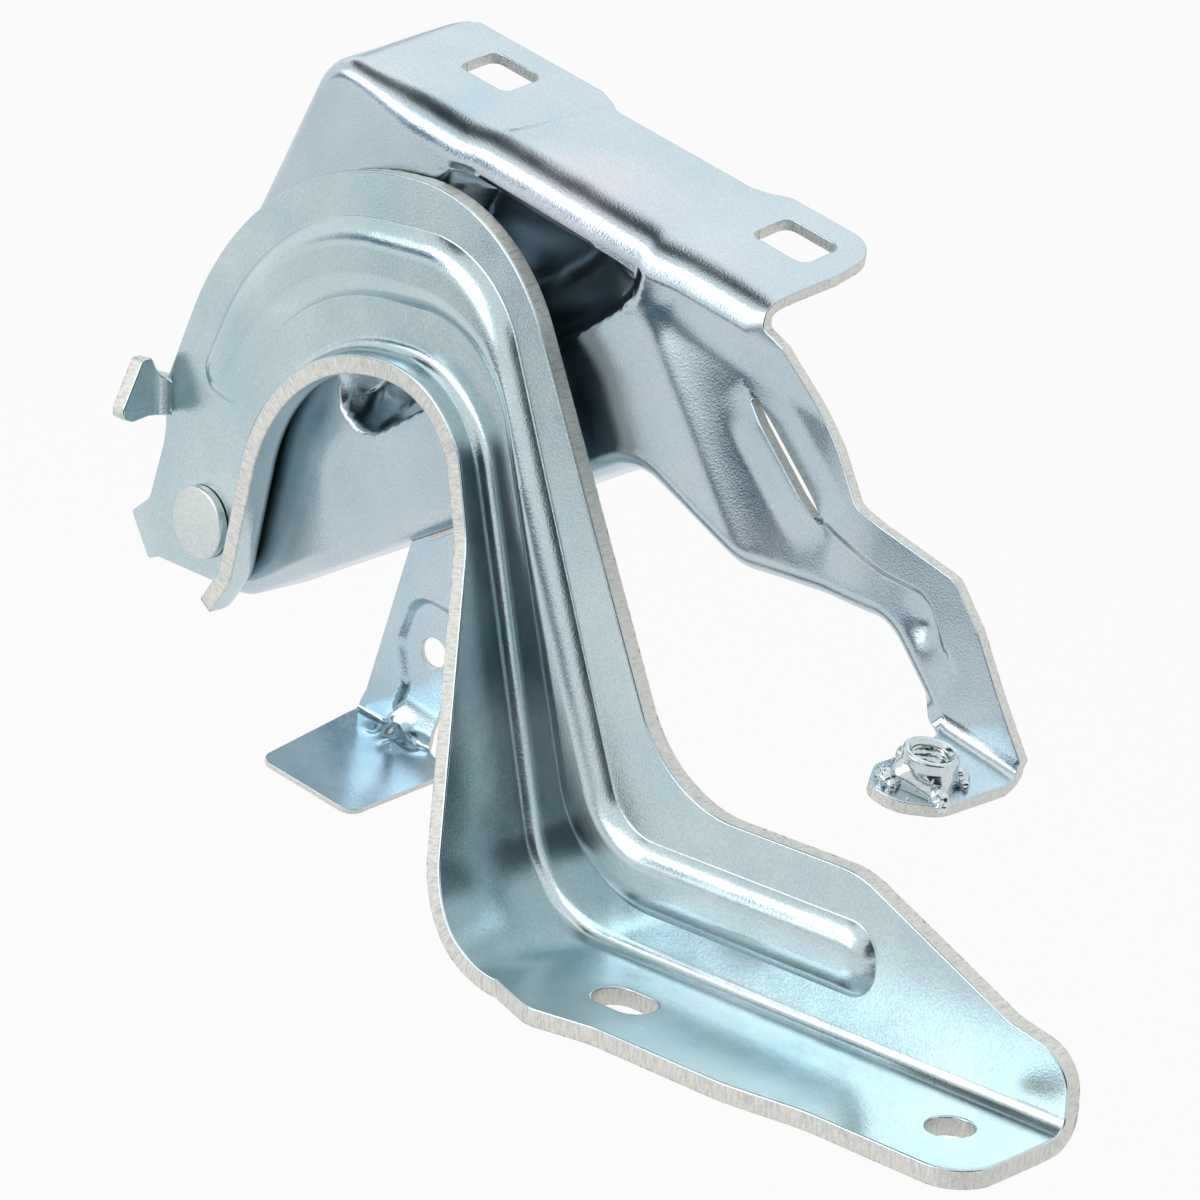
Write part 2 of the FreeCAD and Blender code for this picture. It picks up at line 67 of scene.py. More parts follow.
# cut edge of foot, leg and rear flange, from the lower end of the leg round to the flange's back corner
CUT_EDGE = [
    (193.2, 53.4, 3), (195.8, 45.5, 10), (195.8, 33.0, 5), (200.0, 26.5, 4), (206.5, 26.5, 6),
    (212.0, 33.5, 8), (212.0, 51.5, 2), (210.6, 55.4, 2), (205.7, 60.4, 0), (200.8, 65.6, 0),
    (193.3, 74.2, 4), (185.4, 80.8, 4), (164.8, 82.2, 0), (159.5, 82.6, 4), (151.6, 90.2, 0),
    (139.9, 99.3, 0), (134.8, 103.2, 2), (129.4, 104.6, 1.0), (128.6, 108.0, 1.0), (129.4, 127.0, 9),
    (127.8, 141.1, 9), (103.5, 141.1, 7), (95.5, 138.5, 7), (57.5, 138.5, 7), (50.5, 141.1, 7),
    (13.4, 141.1, 0),
]
POCKET = [(44.0, 100.6, 6), (97.0, 100.6, 3), (97.0, 95.5, 7), (17.5, 18.8, 8)]
LOUVRE_START = np.array([130.2, 89.8])
LOUVRE_END = np.array([150.8, 75.8])
LEG_CREASE = [(151.0, 75.6), (157.0, 75.0), (170.0, 74.0), (179.0, 74.8), (181.6, 73.6), (187.0, 67.7)]
RIDGE = np.array([[103.0, 93.0], [139.0, 58.0]])
# depths of what is pressed into the plate
RIM_DEPTH = 3.0
RECESS_DEPTH = 2.3
UNDERCUT_DEPTH = 1.3
RIDGE_ABOVE, RIDGE_BELOW = 2.0, 3.0
LOUVRE_RISE, LOUVRE_DIP = 1.5, 0.9
CREASE_DEPTH = 0.7
DIMPLE_AT, DIMPLE_DEPTH = (181.0, 69.6), 1.3
FLANGE_STEP = 3.0


def to_frame(points):
    """Millimetres from the pivot to metres in the shared frame."""
    return np.asarray(points) / 1000.0 + PIVOT


def rounded_line(corners, step, closed=True):
    """Points along a line whose corners (x, z, radius) are arcs."""
    count = len(corners)
    runs = []
    for i, corner in enumerate(corners):
        p = np.array(corner[:2], float)
        r = corner[2] if len(corner) > 2 else 0.0
        if r == 0 or (not closed and i in (0, count - 1)):
            runs.append(p[None])
            continue
        a = np.array(corners[i - 1][:2], float) - p
        b = np.array(corners[(i + 1) % count][:2], float) - p
        a /= np.linalg.norm(a)
        b /= np.linalg.norm(b)
        half = 0.5 * math.acos(max(-1.0, min(1.0, float(a @ b))))
        if half > 1.5533:
            runs.append(p[None])
            continue
        start = p + a * r / math.tan(half)
        end = p + b * r / math.tan(half)
        centre = p + (a + b) / np.linalg.norm(a + b) * r / math.sin(half)
        first = math.atan2(*(start - centre)[::-1])
        turn = math.atan2(*(end - centre)[::-1]) - first
        turn = (turn + math.pi) % (2 * math.pi) - math.pi
        parts = max(2, math.ceil(abs(turn) * r / step))
        angles = first + turn * np.arange(parts + 1) / parts
        runs.append(centre + r * np.stack([np.cos(angles), np.sin(angles)], 1))
    points = []
    for i, run in enumerate(runs):
        points.extend(run)
        if closed or i < count - 1:
            p, q = run[-1], runs[(i + 1) % count][0]
            parts = max(1, math.ceil(np.linalg.norm(q - p) / step))
            points.extend(p + (q - p) * k / parts for k in range(1, parts))
    points = np.array(points)
    gap = np.linalg.norm(points - np.roll(points, 1, 0), axis=1)
    keep = gap > 0.02
    if not closed:
        keep[0] = True
    return points[keep]


def beside(corners, offset):
    """The same open line moved to its left, with its radii changed to suit."""
    points = [np.array(c[:2], float) for c in corners]
    lines = []
    for p, q in zip(points, points[1:]):
        way = (q - p) / np.linalg.norm(q - p)
        lines.append((p + offset * np.array([-way[1], way[0]]), way))
    moved = [tuple(lines[0][0]) + (0,)]
    for i in range(1, len(points) - 1):
        (p, a), (q, b) = lines[i - 1], lines[i]
        cross = a[0] * b[1] - a[1] * b[0]
        along = ((q - p)[0] * b[1] - (q - p)[1] * b[0]) / cross
        r = corners[i][2]
        moved.append(tuple(p + a * along) + (max(0.5, r - math.copysign(offset, cross)),))
    last = points[-1] + offset * np.array([-lines[-1][1][1], lines[-1][1][0]])
    return moved + [tuple(last) + (0,)]


def unit(rows):
    """Each row at length one."""
    return rows / np.linalg.norm(rows, axis=1)[:, None]


def signed_area(line):
    """Twice the area inside a closed line, positive where it runs anticlockwise."""
    after = np.roll(line, -1, 0)
    return (line[:, 0] * after[:, 1] - after[:, 0] * line[:, 1]).sum()


def outward(line):
    """Direction away from the inside at each point of a closed line."""
    way = unit(np.roll(line, -1, 0) - np.roll(line, 1, 0))
    return np.stack([way[:, 1], -way[:, 0]], 1) * math.copysign(1, signed_area(line))


def frame_of(points):
    """Length so far and left-hand direction at each point of an open line."""
    way = unit(np.gradient(points, axis=0))
    length = np.concatenate([[0], np.cumsum(np.linalg.norm(np.diff(points, axis=0), axis=1))])
    return length, np.stack([-way[:, 1], way[:, 0]], 1)


def reach(points, loop):
    """Distance to a closed line, positive inside, and the direction in which it grows."""
    points = np.asarray(points, float)
    ax, ay = loop[:, 0], loop[:, 1]
    bx, by = np.roll(ax, -1), np.roll(ay, -1)
    run, rise = bx - ax, by - ay
    size = np.maximum(run ** 2 + rise ** 2, 1e-12)
    lean = run / np.where(np.abs(rise) < 1e-12, 1e-12, rise)
    far = np.zeros(len(points))
    grow = np.zeros((len(points), 2))
    for at in range(0, len(points), 2000):
        px = points[at:at + 2000, 0, None]
        py = points[at:at + 2000, 1, None]
        dx, dy = px - ax, py - ay
        t = np.clip((dx * run + dy * rise) / size, 0, 1)
        gx, gy = dx - t * run, dy - t * rise
        best = (gx * gx + gy * gy).argmin(1)
        row = np.arange(len(best))
        gap = np.stack([gx[row, best], gy[row, best]], 1)
        dist = np.linalg.norm(gap, axis=1)
        crossing = ((ay > py) != (by > py)) & (dx < lean * dy)
        inside = np.where(crossing.sum(1) % 2 == 1, 1.0, -1.0)
        far[at:at + 2000] = dist * inside
        grow[at:at + 2000] = gap / np.maximum(dist, 1e-9)[:, None] * inside[:, None]
    return far, grow


def honeycomb(low, high, step):
    """Evenly spread points in a box, in rows set half a step aside."""
    rows = np.arange(low[1], high[1], step * 0.866)
    cells = np.arange(low[0], high[0], step)
    grid = [np.stack([cells + (step / 2 if k % 2 else 0.0), np.full(len(cells), z)], 1)
            for k, z in enumerate(rows)]
    return np.concatenate(grid)


def ease(value, low, high):
    """Soft step from 0 at low to 1 at high."""
    t = np.clip((value - low) / (high - low), 0, 1)
    return t * t * (3 - 2 * t)


def fill(flat, loops, seams=()):
    """Triangles of a flat pattern between its closed lines, over all its points."""
    edges = []
    for loop in loops:
        edges += [(int(loop[k]), int(loop[(k + 1) % len(loop)])) for k in range(len(loop))]
    for seam in seams:
        edges += [(int(p), int(q)) for p, q in zip(seam, seam[1:])]
    corners = [Vector((float(p[0]), float(p[1]))) for p in flat]
    made = delaunay_2d_cdt(corners, edges, [], 0, 1e-6, True)
    names = np.array([ids[0] if ids else -1 for ids in made[3]])
    tris = names[np.array(made[2])]
    tris = tris[(tris >= 0).all(1)]
    on_rim = np.zeros(len(flat), bool)
    for loop in loops:
        on_rim[loop] = True
    unsure = on_rim[tris].all(1)
    middle = flat[tris[unsure]].mean(1)
    good = reach(middle, flat[loops[0]])[0] > 0
    for loop in loops[1:]:
        good &= reach(middle, flat[loop])[0] < 0
    keep = np.ones(len(tris), bool)
    keep[np.flatnonzero(unsure)[~good]] = False
    tris = tris[keep]
    a, b, c = flat[tris[:, 0]], flat[tris[:, 1]], flat[tris[:, 2]]
    area = (b - a)[:, 0] * (c - a)[:, 1] - (b - a)[:, 1] * (c - a)[:, 0]
    tris = tris[np.abs(area) > 1e-7]
    area = area[np.abs(area) > 1e-7]
    tris[area < 0] = tris[area < 0][:, ::-1]
    return tris


def shown(name, data):
    """A new object in the scene for a mesh, a lamp or a camera."""
    thing = bpy.data.objects.new(name, data)
    bpy.context.collection.objects.link(thing)
    return thing


def pressing(name, flat, loops, front, normal, back, finish, seams=(), soft_edge=0.35, torn=0.1, seed=1):
    """A sheet-metal piece: two skins from one flat pattern, and its cut edges between them."""
    rng = np.random.default_rng(seed)
    tris = fill(flat, loops, seams)
    a, b, c = front[tris[:, 0]], front[tris[:, 1]], front[tris[:, 2]]
    facing = (np.cross(b - a, c - a) * normal[tris[:, 0]]).sum(1)
    hand = 1.0 if np.median(facing) > 0 else -1.0
    if hand < 0:
        tris = tris[:, ::-1]
    count = len(flat)
    points = [front.copy(), back.copy()]
    normals = [normal, -normal]
    faces = [tris, tris[:, ::-1] + count]
    uv = [flat[tris].reshape(-1, 2), flat[tris[:, ::-1]].reshape(-1, 2)]
    slots = [np.zeros(2 * len(tris), int)]
    quads, quad_uv, quad_slot = [], [], []
    total = 2 * count
    for number, loop in enumerate(loops):
        edge = front[loop]
        out = np.cross(unit(np.roll(edge, -1, 0) - np.roll(edge, 1, 0)), normal[loop]) * hand
        area = signed_area(flat[loop])
        out *= math.copysign(1.0, area) * (1.0 if number == 0 else -1.0)
        deep = back[loop] - edge
        thick = np.linalg.norm(deep, axis=1)[:, None]
        down = deep / thick
        e = soft_edge
        points[0][loop] = edge - out * e
        points[1][loop] = back[loop] - out * e
        soft = np.cumsum(rng.normal(0, 1, (len(loop), 4)), 0)
        soft -= np.linspace(0, 1, len(loop))[:, None] * (soft[-1] - soft[0])
        bite = rng.normal(0, 1, (len(loop), 4)) * 0.6 + np.clip(soft * 0.25, -1, 1) * 0.4
        rings = [
            (edge - out * 0.29 * e + down * 0.29 * e, normal[loop] + out),
            (edge + down * e, out),
            (edge + down * thick * 0.42 - out * torn * 0.5 * np.abs(bite[:, :1]), out),
            (edge + down * thick * 0.66 - out * torn * np.abs(bite[:, 1:2]), out),
            (edge + down * (thick - 0.8 * e) - out * torn * 1.4 * np.abs(bite[:, 2:3]), out),
            (back[loop] - out * 0.35 * e - down * 0.25 * e, out - normal[loop]),
        ]
        first = total
        for place, facing_way in rings:
            points.append(place)
            normals.append(unit(facing_way))
            total += len(loop)
        rows = [loop] + [first + k * len(loop) + np.arange(len(loop)) for k in range(len(rings))]
        rows.append(loop + count)
        length = np.concatenate([[0], np.cumsum(np.linalg.norm(np.diff(edge, axis=0), axis=1))])
        drop = [0, 0.3, 0.5, 1.7, 2.6, 3.6, 3.9, 4.0]
        flip = (area > 0) == (number == 0)
        if hand < 0:
            flip = not flip
        for k in range(len(rows) - 1):
            p, q = rows[k], rows[k + 1]
            along = np.stack([length, np.full(len(loop), drop[k])], 1)
            lower = np.stack([length, np.full(len(loop), drop[k + 1])], 1)
            face = np.stack([p, q, np.roll(q, -1), np.roll(p, -1)], 1)
            cell = np.stack([along, lower, np.roll(lower, -1, 0), np.roll(along, -1, 0)], 1)
            if not flip:
                face = face[:, ::-1]
                cell = cell[:, ::-1]
            quads.append(face)
            quad_uv.append(cell.reshape(-1, 2))
            quad_slot.append(np.full(len(loop), 0 if k < 2 else 1))
    mesh = bpy.data.meshes.new(name)
    place = to_frame(np.concatenate(points))
    all_faces = [list(map(int, f)) for part in faces for f in part]
    all_faces += [list(map(int, f)) for part in quads for f in part]
    mesh.from_pydata(place.tolist(), [], all_faces)
    layer = mesh.uv_layers.new(name="sheet")
    layer.data.foreach_set("uv", (np.concatenate(uv + quad_uv) / 100.0).ravel().astype(np.float32))
    slots = np.concatenate(slots + quad_slot)
    mesh.polygons.foreach_set("material_index", slots.astype(np.int32))
    mesh.polygons.foreach_set("use_smooth", np.ones(len(slots), bool))
    mesh.update()
    mesh.normals_split_custom_set_from_vertices(np.concatenate(normals).tolist())
    mesh.materials.append(finish)
    mesh.materials.append(cut_edge)
    return shown(name, mesh)


def nodes_of(material):
    """The emptied node tree of a material or world."""
    material.use_nodes = True
    material.node_tree.nodes.clear()
    return material.node_tree


def add_node(tree, kind, inputs=(), **choices):
    """A new node: its own choices first, then a value or another node's socket for each input."""
    node = tree.nodes.new(kind)
    for name, choice in choices.items():
        setattr(node, name, choice)
    for name, given in dict(inputs).items():
        if isinstance(given, bpy.types.NodeSocket):
            tree.links.new(given, node.inputs[name])
        else:
            node.inputs[name].default_value = given
    return node


def noise(tree, place, scale, detail, roughness=0.5):
    """A noise field over a place."""
    inputs = {"Vector": place, "Scale": scale, "Detail": detail, "Roughness": roughness}
    return add_node(tree, "ShaderNodeTexNoise", inputs).outputs["Fac"]


def ranged(tree, value, low, high, to_low, to_high):
    """A value moved from one range to another and held at its ends."""
    inputs = {"Value": value, "From Min": low, "From Max": high, "To Min": to_low, "To Max": to_high}
    return add_node(tree, "ShaderNodeMapRange", inputs).outputs["Result"]


def two_tone(tree, value, low, high):
    """A colour that goes from one tone to another between two levels of a value."""
    ramp = add_node(tree, "ShaderNodeValToRGB", {"Fac": value})
    for stop, (level, tone) in zip(ramp.color_ramp.elements, (low, high)):
        stop.position = level
        stop.color = (*tone, 1)
    return ramp.outputs["Color"]


def bumped(tree, height, strength, distance, under=None):
    """Bumps from a height field, laid over other bumps where those are given."""
    inputs = {"Height": height, "Strength": strength, "Distance": distance}
    if under:
        inputs["Normal"] = under
    return add_node(tree, "ShaderNodeBump", inputs).outputs["Normal"]


def metal(tree, metallic, colour, rough, normal):
    """The metal's shader, tied to the material's output."""
    inputs = {"Metallic": metallic, "Base Color": colour, "Roughness": rough, "Normal": normal}
    shader = add_node(tree, "ShaderNodeBsdfPrincipled", inputs)
    add_node(tree, "ShaderNodeOutputMaterial", {"Surface": shader.outputs[0]})


def zinc_plate(name, pale, deep, shine=(0.15, 0.27), grain=0.35, tint=None):
    """Bright zinc plate: clouded colour, fine grain that sparkles, and long soft waves in the sheet."""
    material = bpy.data.materials.new(name)
    tree = nodes_of(material)
    place = add_node(tree, "ShaderNodeTexCoord").outputs["Object"]
    cloud = noise(tree, place, 38.0, 4.0, 0.55)
    colour = two_tone(tree, cloud, (0.32, deep), (0.68, pale))
    if tint:
        sheen = ranged(tree, noise(tree, place, 14.0, 2.0), 0.52, 0.74, 0.0, 0.55)
        inputs = {"Factor": sheen, "A": colour, "B": (*tint, 1)}
        colour = add_node(tree, "ShaderNodeMix", inputs, data_type="RGBA").outputs["Result"]
    fine = noise(tree, place, 800.0 / grain, 2.5)
    fleck = ranged(tree, fine, 0.34, 0.66, 0.92, 1.05)
    flecked = add_node(tree, "ShaderNodeVectorMath", {0: colour, "Scale": fleck}, operation="SCALE")
    waves = bumped(tree, noise(tree, place, 55.0, 1.0), 0.5, 0.00055)
    skin = bumped(tree, fine, 0.5, 0.00006, waves)
    metal(tree, 1.0, flecked.outputs["Vector"], ranged(tree, cloud, 0.3, 0.7, *shine), skin)
    return material


def sheared_edge(name, pale, deep, shine=(0.32, 0.6)):
    """Cut edge of the sheet under its zinc: streaks across the sheet and a coarser grain."""
    material = bpy.data.materials.new(name)
    tree = nodes_of(material)
    place = add_node(tree, "ShaderNodeUVMap", uv_map="sheet").outputs["UV"]
    stretch = add_node(tree, "ShaderNodeMapping", {"Vector": place, "Scale": (100.0, 22.0, 1.0)})
    streak = noise(tree, stretch.outputs["Vector"], 1.6, 5.0, 0.65)
    grain = noise(tree, place, 260.0, 3.0)
    inputs = {0: grain, 1: 0.4, 2: streak}
    both = add_node(tree, "ShaderNodeMath", inputs, operation="MULTIPLY_ADD").outputs[0]
    colour = two_tone(tree, both, (0.48, deep), (0.78, pale))
    metal(tree, 0.9, colour, ranged(tree, both, 0.5, 0.9, *shine), bumped(tree, both, 0.8, 0.00025))
    return material


bracket_zinc = zinc_plate("zinc_on_bracket", (0.57, 0.65, 0.69), (0.44, 0.55, 0.61),
                          tint=(0.70, 0.62, 0.69))
cut_edge = sheared_edge("sheared_edge", (0.78, 0.78, 0.73), (0.50, 0.51, 0.49))


def bracket_relief(points):
    """How far the plate is pressed back from its front plane, and how steeply."""
    def shape(p):
        u, w = p[:, 0], p[:, 1]
        depth = reach(p, pocket_loop)[0]
        (right_u, right_w), (low_u, low_w) = POCKET[2][:2], POCKET[3][:2]
        right_of = (u - low_u) - (w - low_w) * (right_u - low_u) / (right_w - low_w)
        lower = ease(right_of, -6, 6)
        from_left = ((u - low_u) * 0.951 - (w - low_w) * 0.309) * 2.0
        inward = np.minimum(-right_of * 0.72, from_left)
        press = RIM_DEPTH * ease(depth, -1.3, 2.2)
        press = press + (POCKET_DEPTH - RIM_DEPTH) * ease(inward, -0.5, 15.0) * ease(depth, -2.0, 4.0)
        # the bend of the rear flange is set back over the pocket
        recess = RECESS_DEPTH * ease(u, 44.0, 50.0) * (1 - ease(u, 95.0, 100.0)) * ease(w, 92, 99.5)
        press = np.maximum(press, recess)
        press = press + UNDERCUT_DEPTH * lower * ease(-depth, 0.5, 11) * ease(u, 20, 40)
        # soft ridge that runs from the pocket's right end down to the leg
        way = (RIDGE[1] - RIDGE[0]) / np.linalg.norm(RIDGE[1] - RIDGE[0])
        side = (u - RIDGE[0, 0]) * -way[1] + (w - RIDGE[0, 1]) * way[0]
        round_side = np.sqrt(side ** 2 + 4.0) - 2.0
        zone = ease(u, 92, 104) * ease(168 - u, 0, 20) * ease(TOP_LINE - w, 1, 12)
        left_zone = ease(u, 60, 88) * ease(168 - u, 0, 20) * ease(TOP_LINE - w, 4, 16)
        upper = RIDGE_ABOVE * (1 - np.exp(-round_side / 6.5))
        below = RIDGE_BELOW * (1 - np.exp(-round_side / 19.0))
        press = press + np.where(side > 0, zone * upper, left_zone * below)
        # lanced louvre: its left lip stands forward and its right side is pushed back
        span = LOUVRE_END - LOUVRE_START
        length = np.linalg.norm(span)
        span = span / length
        a = (p - LOUVRE_START) @ span / length
        b = (p - LOUVRE_START) @ np.array([span[1], -span[0]])
        run = ease(a, -0.22, 0.25) * ease(1.22 - a, 0, 0.45)
        lip = np.where(b > 0, np.clip(1 - (b / 9.5) ** 2, 0, 1) ** 2, 0)
        dip = np.where(b <= 0, np.clip(1 - (b / 8.5) ** 2, 0, 1) ** 2, 0)
        press = press - LOUVRE_RISE * run * lip + LOUVRE_DIP * run * dip
        # crease down the leg
        crease = reach(p, leg_side)[0]
        press = press + CREASE_DEPTH * ease(crease, -0.9, 0.9) * ease(u, 149, 156) * (1 - ease(u, 184, 193))
        dimple = np.exp(-((u - DIMPLE_AT[0]) / 3.6) ** 2 - ((w - DIMPLE_AT[1]) / 4.2) ** 2)
        press = press + DIMPLE_DEPTH * dimple * ease(crease, -0.5, 0.7)
        return press
    h = 0.05
    level = shape(points)
    slope_u = (shape(points + [h, 0]) - shape(points - [h, 0])) / (2 * h)
    slope_w = (shape(points + [0, h]) - shape(points - [0, h])) / (2 * h)
    return level, slope_u, slope_w


pocket_loop = rounded_line(POCKET, 1.5)
leg_side = rounded_line([c + (3,) for c in LEG_CREASE] + [(230, 40, 0), (100, 40, 0)], 2.0)

# bend lines and how each rib of the returned edge runs from them
return_corners = beside([(2.2, 102.0, 0)] + RETURN_EDGE, RETURN_BEND)
bend_line = [(13.6, TOP_LINE, 0), (7.4, TOP_LINE, 6.0)] + return_corners[1:]
rib_foot = rounded_line(bend_line, 1.0, closed=False)
rib_at, rib_left = frame_of(rib_foot)
rib_way = -rib_left
rib_end = rib_at[-1]
corner_share = ease(rib_at, 1.0, 9.5)
run_out = ease(rib_end - rib_at, 1.0, 11.0)
rib_bend = TOP_BEND + (RETURN_BEND - TOP_BEND) * corner_share
rib_angle = (TOP_ANGLE + (math.pi / 2 - TOP_ANGLE) * corner_share) * np.maximum(run_out, 0.02)
rib_reach = TOP_REACH - 1.2 + (RETURN_REACH - TOP_REACH + 1.2) * ease(rib_at, 1.5, 6.5)
rib_reach = 6.0 + (rib_reach - 6.0) * ease(rib_end - rib_at, 10.0, 30.0)
least = rib_bend * rib_angle + rib_bend * (1 - np.sin(rib_angle)) / np.maximum(np.cos(rib_angle), 0.05)
rib_reach = np.where(run_out < 1, np.minimum(rib_reach, least), rib_reach)
rib_scale = 1.0 + (0.3 - 1.0) * ease(rib_at, 0.5, 9.0)
rib_scale = rib_scale + (1.0 - rib_scale) * (1 - run_out)


def rib_point(foot, way, bend, angle, far, press):
    """A point of a rib that leaves the plate at foot, bends back and runs straight on."""
    a = np.minimum(far / bend, angle)
    rest = far - bend * a
    out = bend * np.sin(a) + rest * np.cos(angle)
    deep = bend * (1 - np.cos(a)) + rest * np.sin(angle)
    flat = foot + way * out[:, None]
    normal = np.stack([way[:, 0] * np.sin(a), -np.cos(a), way[:, 1] * np.sin(a)], 1)
    return np.stack([flat[:, 0], PLATE_Y + press + deep, flat[:, 1]], 1), normal


flat, kind, rib, far_out = [], [], [], []


def add_points(points, zone, which=None, far=None):
    """Keeps points of the flat pattern with the zone they fold in; gives their numbers."""
    start = len(flat)
    flat.extend(points)
    kind.extend([zone] * len(points))
    rib.extend(which if which is not None else [0] * len(points))
    far_out.extend(far if far is not None else [0.0] * len(points))
    return np.arange(start, start + len(points))


# the outline: cut edge first, then the free edge of the returned sides
cut_points = rounded_line(CUT_EDGE, 0.8, closed=False)
free_points = rib_foot + rib_way * (rib_scale * rib_reach)[:, None]
every = np.arange(1, len(rib_foot) - 1)
outline = add_points(cut_points, 0)
outline = np.concatenate([outline, add_points(free_points[every], 1, every, rib_reach[every])])
flat_outline = np.array(flat)
loops = [outline]


def ring(centre, radius, step=0.7):
    """Points round a hole."""
    turns = max(20, int(2 * math.pi * radius / step))
    angles = np.arange(turns) * 2 * math.pi / turns
    return np.array(centre) + radius * np.stack([np.cos(angles), np.sin(angles)], 1)


PIN_HOLE_RADIUS = 5.0
FOOT_HOLE = ((204.4, 36.46), 4.5)
WINDOW_MIDDLES = (32.1, 115.6)
WINDOW_HALF_LENGTH = 7.1
WINDOW_LOW, WINDOW_HIGH = 124.9, 135.1
WINDOW_CORNER = 2.2
hole_lines = [ring((0.0, 0.0), PIN_HOLE_RADIUS), ring(*FOOT_HOLE)]
for middle in WINDOW_MIDDLES:
    a, b = middle - WINDOW_HALF_LENGTH, middle + WINDOW_HALF_LENGTH
    corners = [(a, WINDOW_LOW), (b, WINDOW_LOW), (b, WINDOW_HIGH), (a, WINDOW_HIGH)]
    hole_lines.append(rounded_line([corner + (WINDOW_CORNER,) for corner in corners], 0.7))
span = (LOUVRE_END - LOUVRE_START) / np.linalg.norm(LOUVRE_END - LOUVRE_START)
gape = np.array([span[1], -span[0]])
slit = [LOUVRE_START - gape * 0.2, LOUVRE_END - gape * 0.4,
        LOUVRE_END + gape * 0.3, LOUVRE_START + gape * 0.2]
hole_lines.append(rounded_line([tuple(p) + (0.18,) for p in slit], 0.5))
for line in hole_lines:
    loops.append(add_points(line, 0))

# rows across the ribs, then an even spread over the rest
ribs = np.arange(1, len(rib_foot) - 1)
rows = np.concatenate([[0.0], np.linspace(0.12, 1.0, 7), np.linspace(1.0, 2.0, 13)[1:-1]])
taken = []
for share in rows:
    bend_run = rib_bend[ribs] * rib_angle[ribs]
    far = np.where(share <= 1, share * bend_run, bend_run + (share - 1) * (rib_reach[ribs] - bend_run))
    keep = far < rib_reach[ribs] - 0.4
    points = rib_foot[ribs] + rib_way[ribs] * (rib_scale[ribs] * far)[:, None]
    taken.append(add_points(points[keep], 1, ribs[keep], far[keep]))

# the bend of the rear flange widens to a 9 mm radius away from its left end
WIDE_BEND = 9.0
WIDE_START = (WIDE_BEND - TOP_BEND) * math.tan(TOP_ANGLE / 2)
# finer rows along the creases and round the louvre
behind = np.arange(11.0, 35.0, 0.9)
crease_rows = []
for offset in (-1.5, -0.9, -0.45, 0.0, 0.45, 0.9, 1.5):
    crease_rows.append(np.stack([49.5 + 0.19 * behind + offset, TOP_LINE + behind], 1))
leg_line = rounded_line([c + (3,) for c in LEG_CREASE], 0.8, closed=False)[3:]
leg_left = frame_of(leg_line)[1]
for offset in (-1.4, -0.9, -0.45, 0.0, 0.45, 0.9, 1.4):
    crease_rows.append(leg_line + leg_left * offset)
slit_line = hole_lines[-1]
for offset in (0.5, 1.1, 1.8):
    row = slit_line + outward(slit_line) * offset
    crease_rows.append(row[np.abs(reach(row, slit_line)[0] + offset) < 0.05])
grid = honeycomb((-25, 25), (215, 143), 1.25)
depth = reach(grid, flat_outline)[0]
grid = grid[depth > 0.6]
for row in crease_rows:
    near = ((grid[:, None, :] - row[None, :, :]) ** 2).sum(2).min(1)
    grid = grid[near > 0.49]
plate_loop = np.concatenate([cut_points, rib_foot[1:-1]])
grid = grid[reach(grid, plate_loop)[0] > 0.7]
for line in hole_lines:
    grid = grid[reach(grid, line)[0] < -0.55]
in_bend = (grid[:, 1] > TOP_LINE - WIDE_START - 0.4) & (grid[:, 0] < 131)
in_bend &= grid[:, 1] < TOP_LINE + TOP_BEND * TOP_ANGLE + WIDE_START + 0.5
grid = grid[~in_bend]
in_foot = (grid[:, 1] > FOOT_LINE - 3.6) & (grid[:, 1] < FOOT_LINE + 0.4) & (grid[:, 0] > 190)
grid = grid[~in_foot]
add_points(grid, 0)
for row in crease_rows:
    row = row[reach(row, plate_loop)[0] > 0.6]
    add_points(row[reach(row, slit_line)[0] < -0.3], 0)


def add_rows(columns, rows, clear):
    """Rows of points along a straight bend, as far as they keep clear of the outline."""
    for row in rows:
        points = np.stack([columns, np.full(len(columns), row)], 1)
        add_points(points[reach(points, flat_outline)[0] > clear], 0)


top_rows = TOP_LINE + np.linspace(-WIDE_START, TOP_BEND * TOP_ANGLE + WIDE_START, 15)
add_rows(np.arange(14.6, 128.2, 1.1), top_rows, 0.6)
add_rows(np.arange(194.0, 212.0, 0.9), FOOT_LINE - np.arange(0, 6) * (FOOT_BEND * math.pi / 2 / 5), 0.5)

flat, kind, rib, far_out = (np.array(part) for part in (flat, kind, rib, far_out))

# fold every point of the flat pattern
level = flat.copy()
wide = WIDE_START * ease(flat[:, 0], 14.0, 34.0) * (1 - ease(flat[:, 0], 124.0, 130.0))
top_zone = (kind == 0) & (flat[:, 1] > TOP_LINE - wide) & (flat[:, 0] < 132)
foot_zone = (kind == 0) & (flat[:, 1] < FOOT_LINE) & (flat[:, 0] > 190)
level[top_zone, 1] = TOP_LINE - wide[top_zone]
on_rib = kind == 1
level[on_rib] = rib_foot[rib[on_rib]]
press, slope_u, slope_w = bracket_relief(level)
# the rear flange keeps a sharper step where the recess in the bend runs out across it
behind = flat[top_zone, 1] - TOP_LINE
step_left = 49.5 + 0.19 * behind
step_right = 97.0 + 0.12 * behind
sharp = FLANGE_STEP * ease(flat[top_zone, 0], step_left - 1.2, step_left + 1.2)
sharp *= 1 - ease(flat[top_zone, 0], step_right - 3.5, step_right + 3.5)
blend = ease(behind, 5.0, 12.0)
press[top_zone] = press[top_zone] * (1 - blend) + sharp * blend

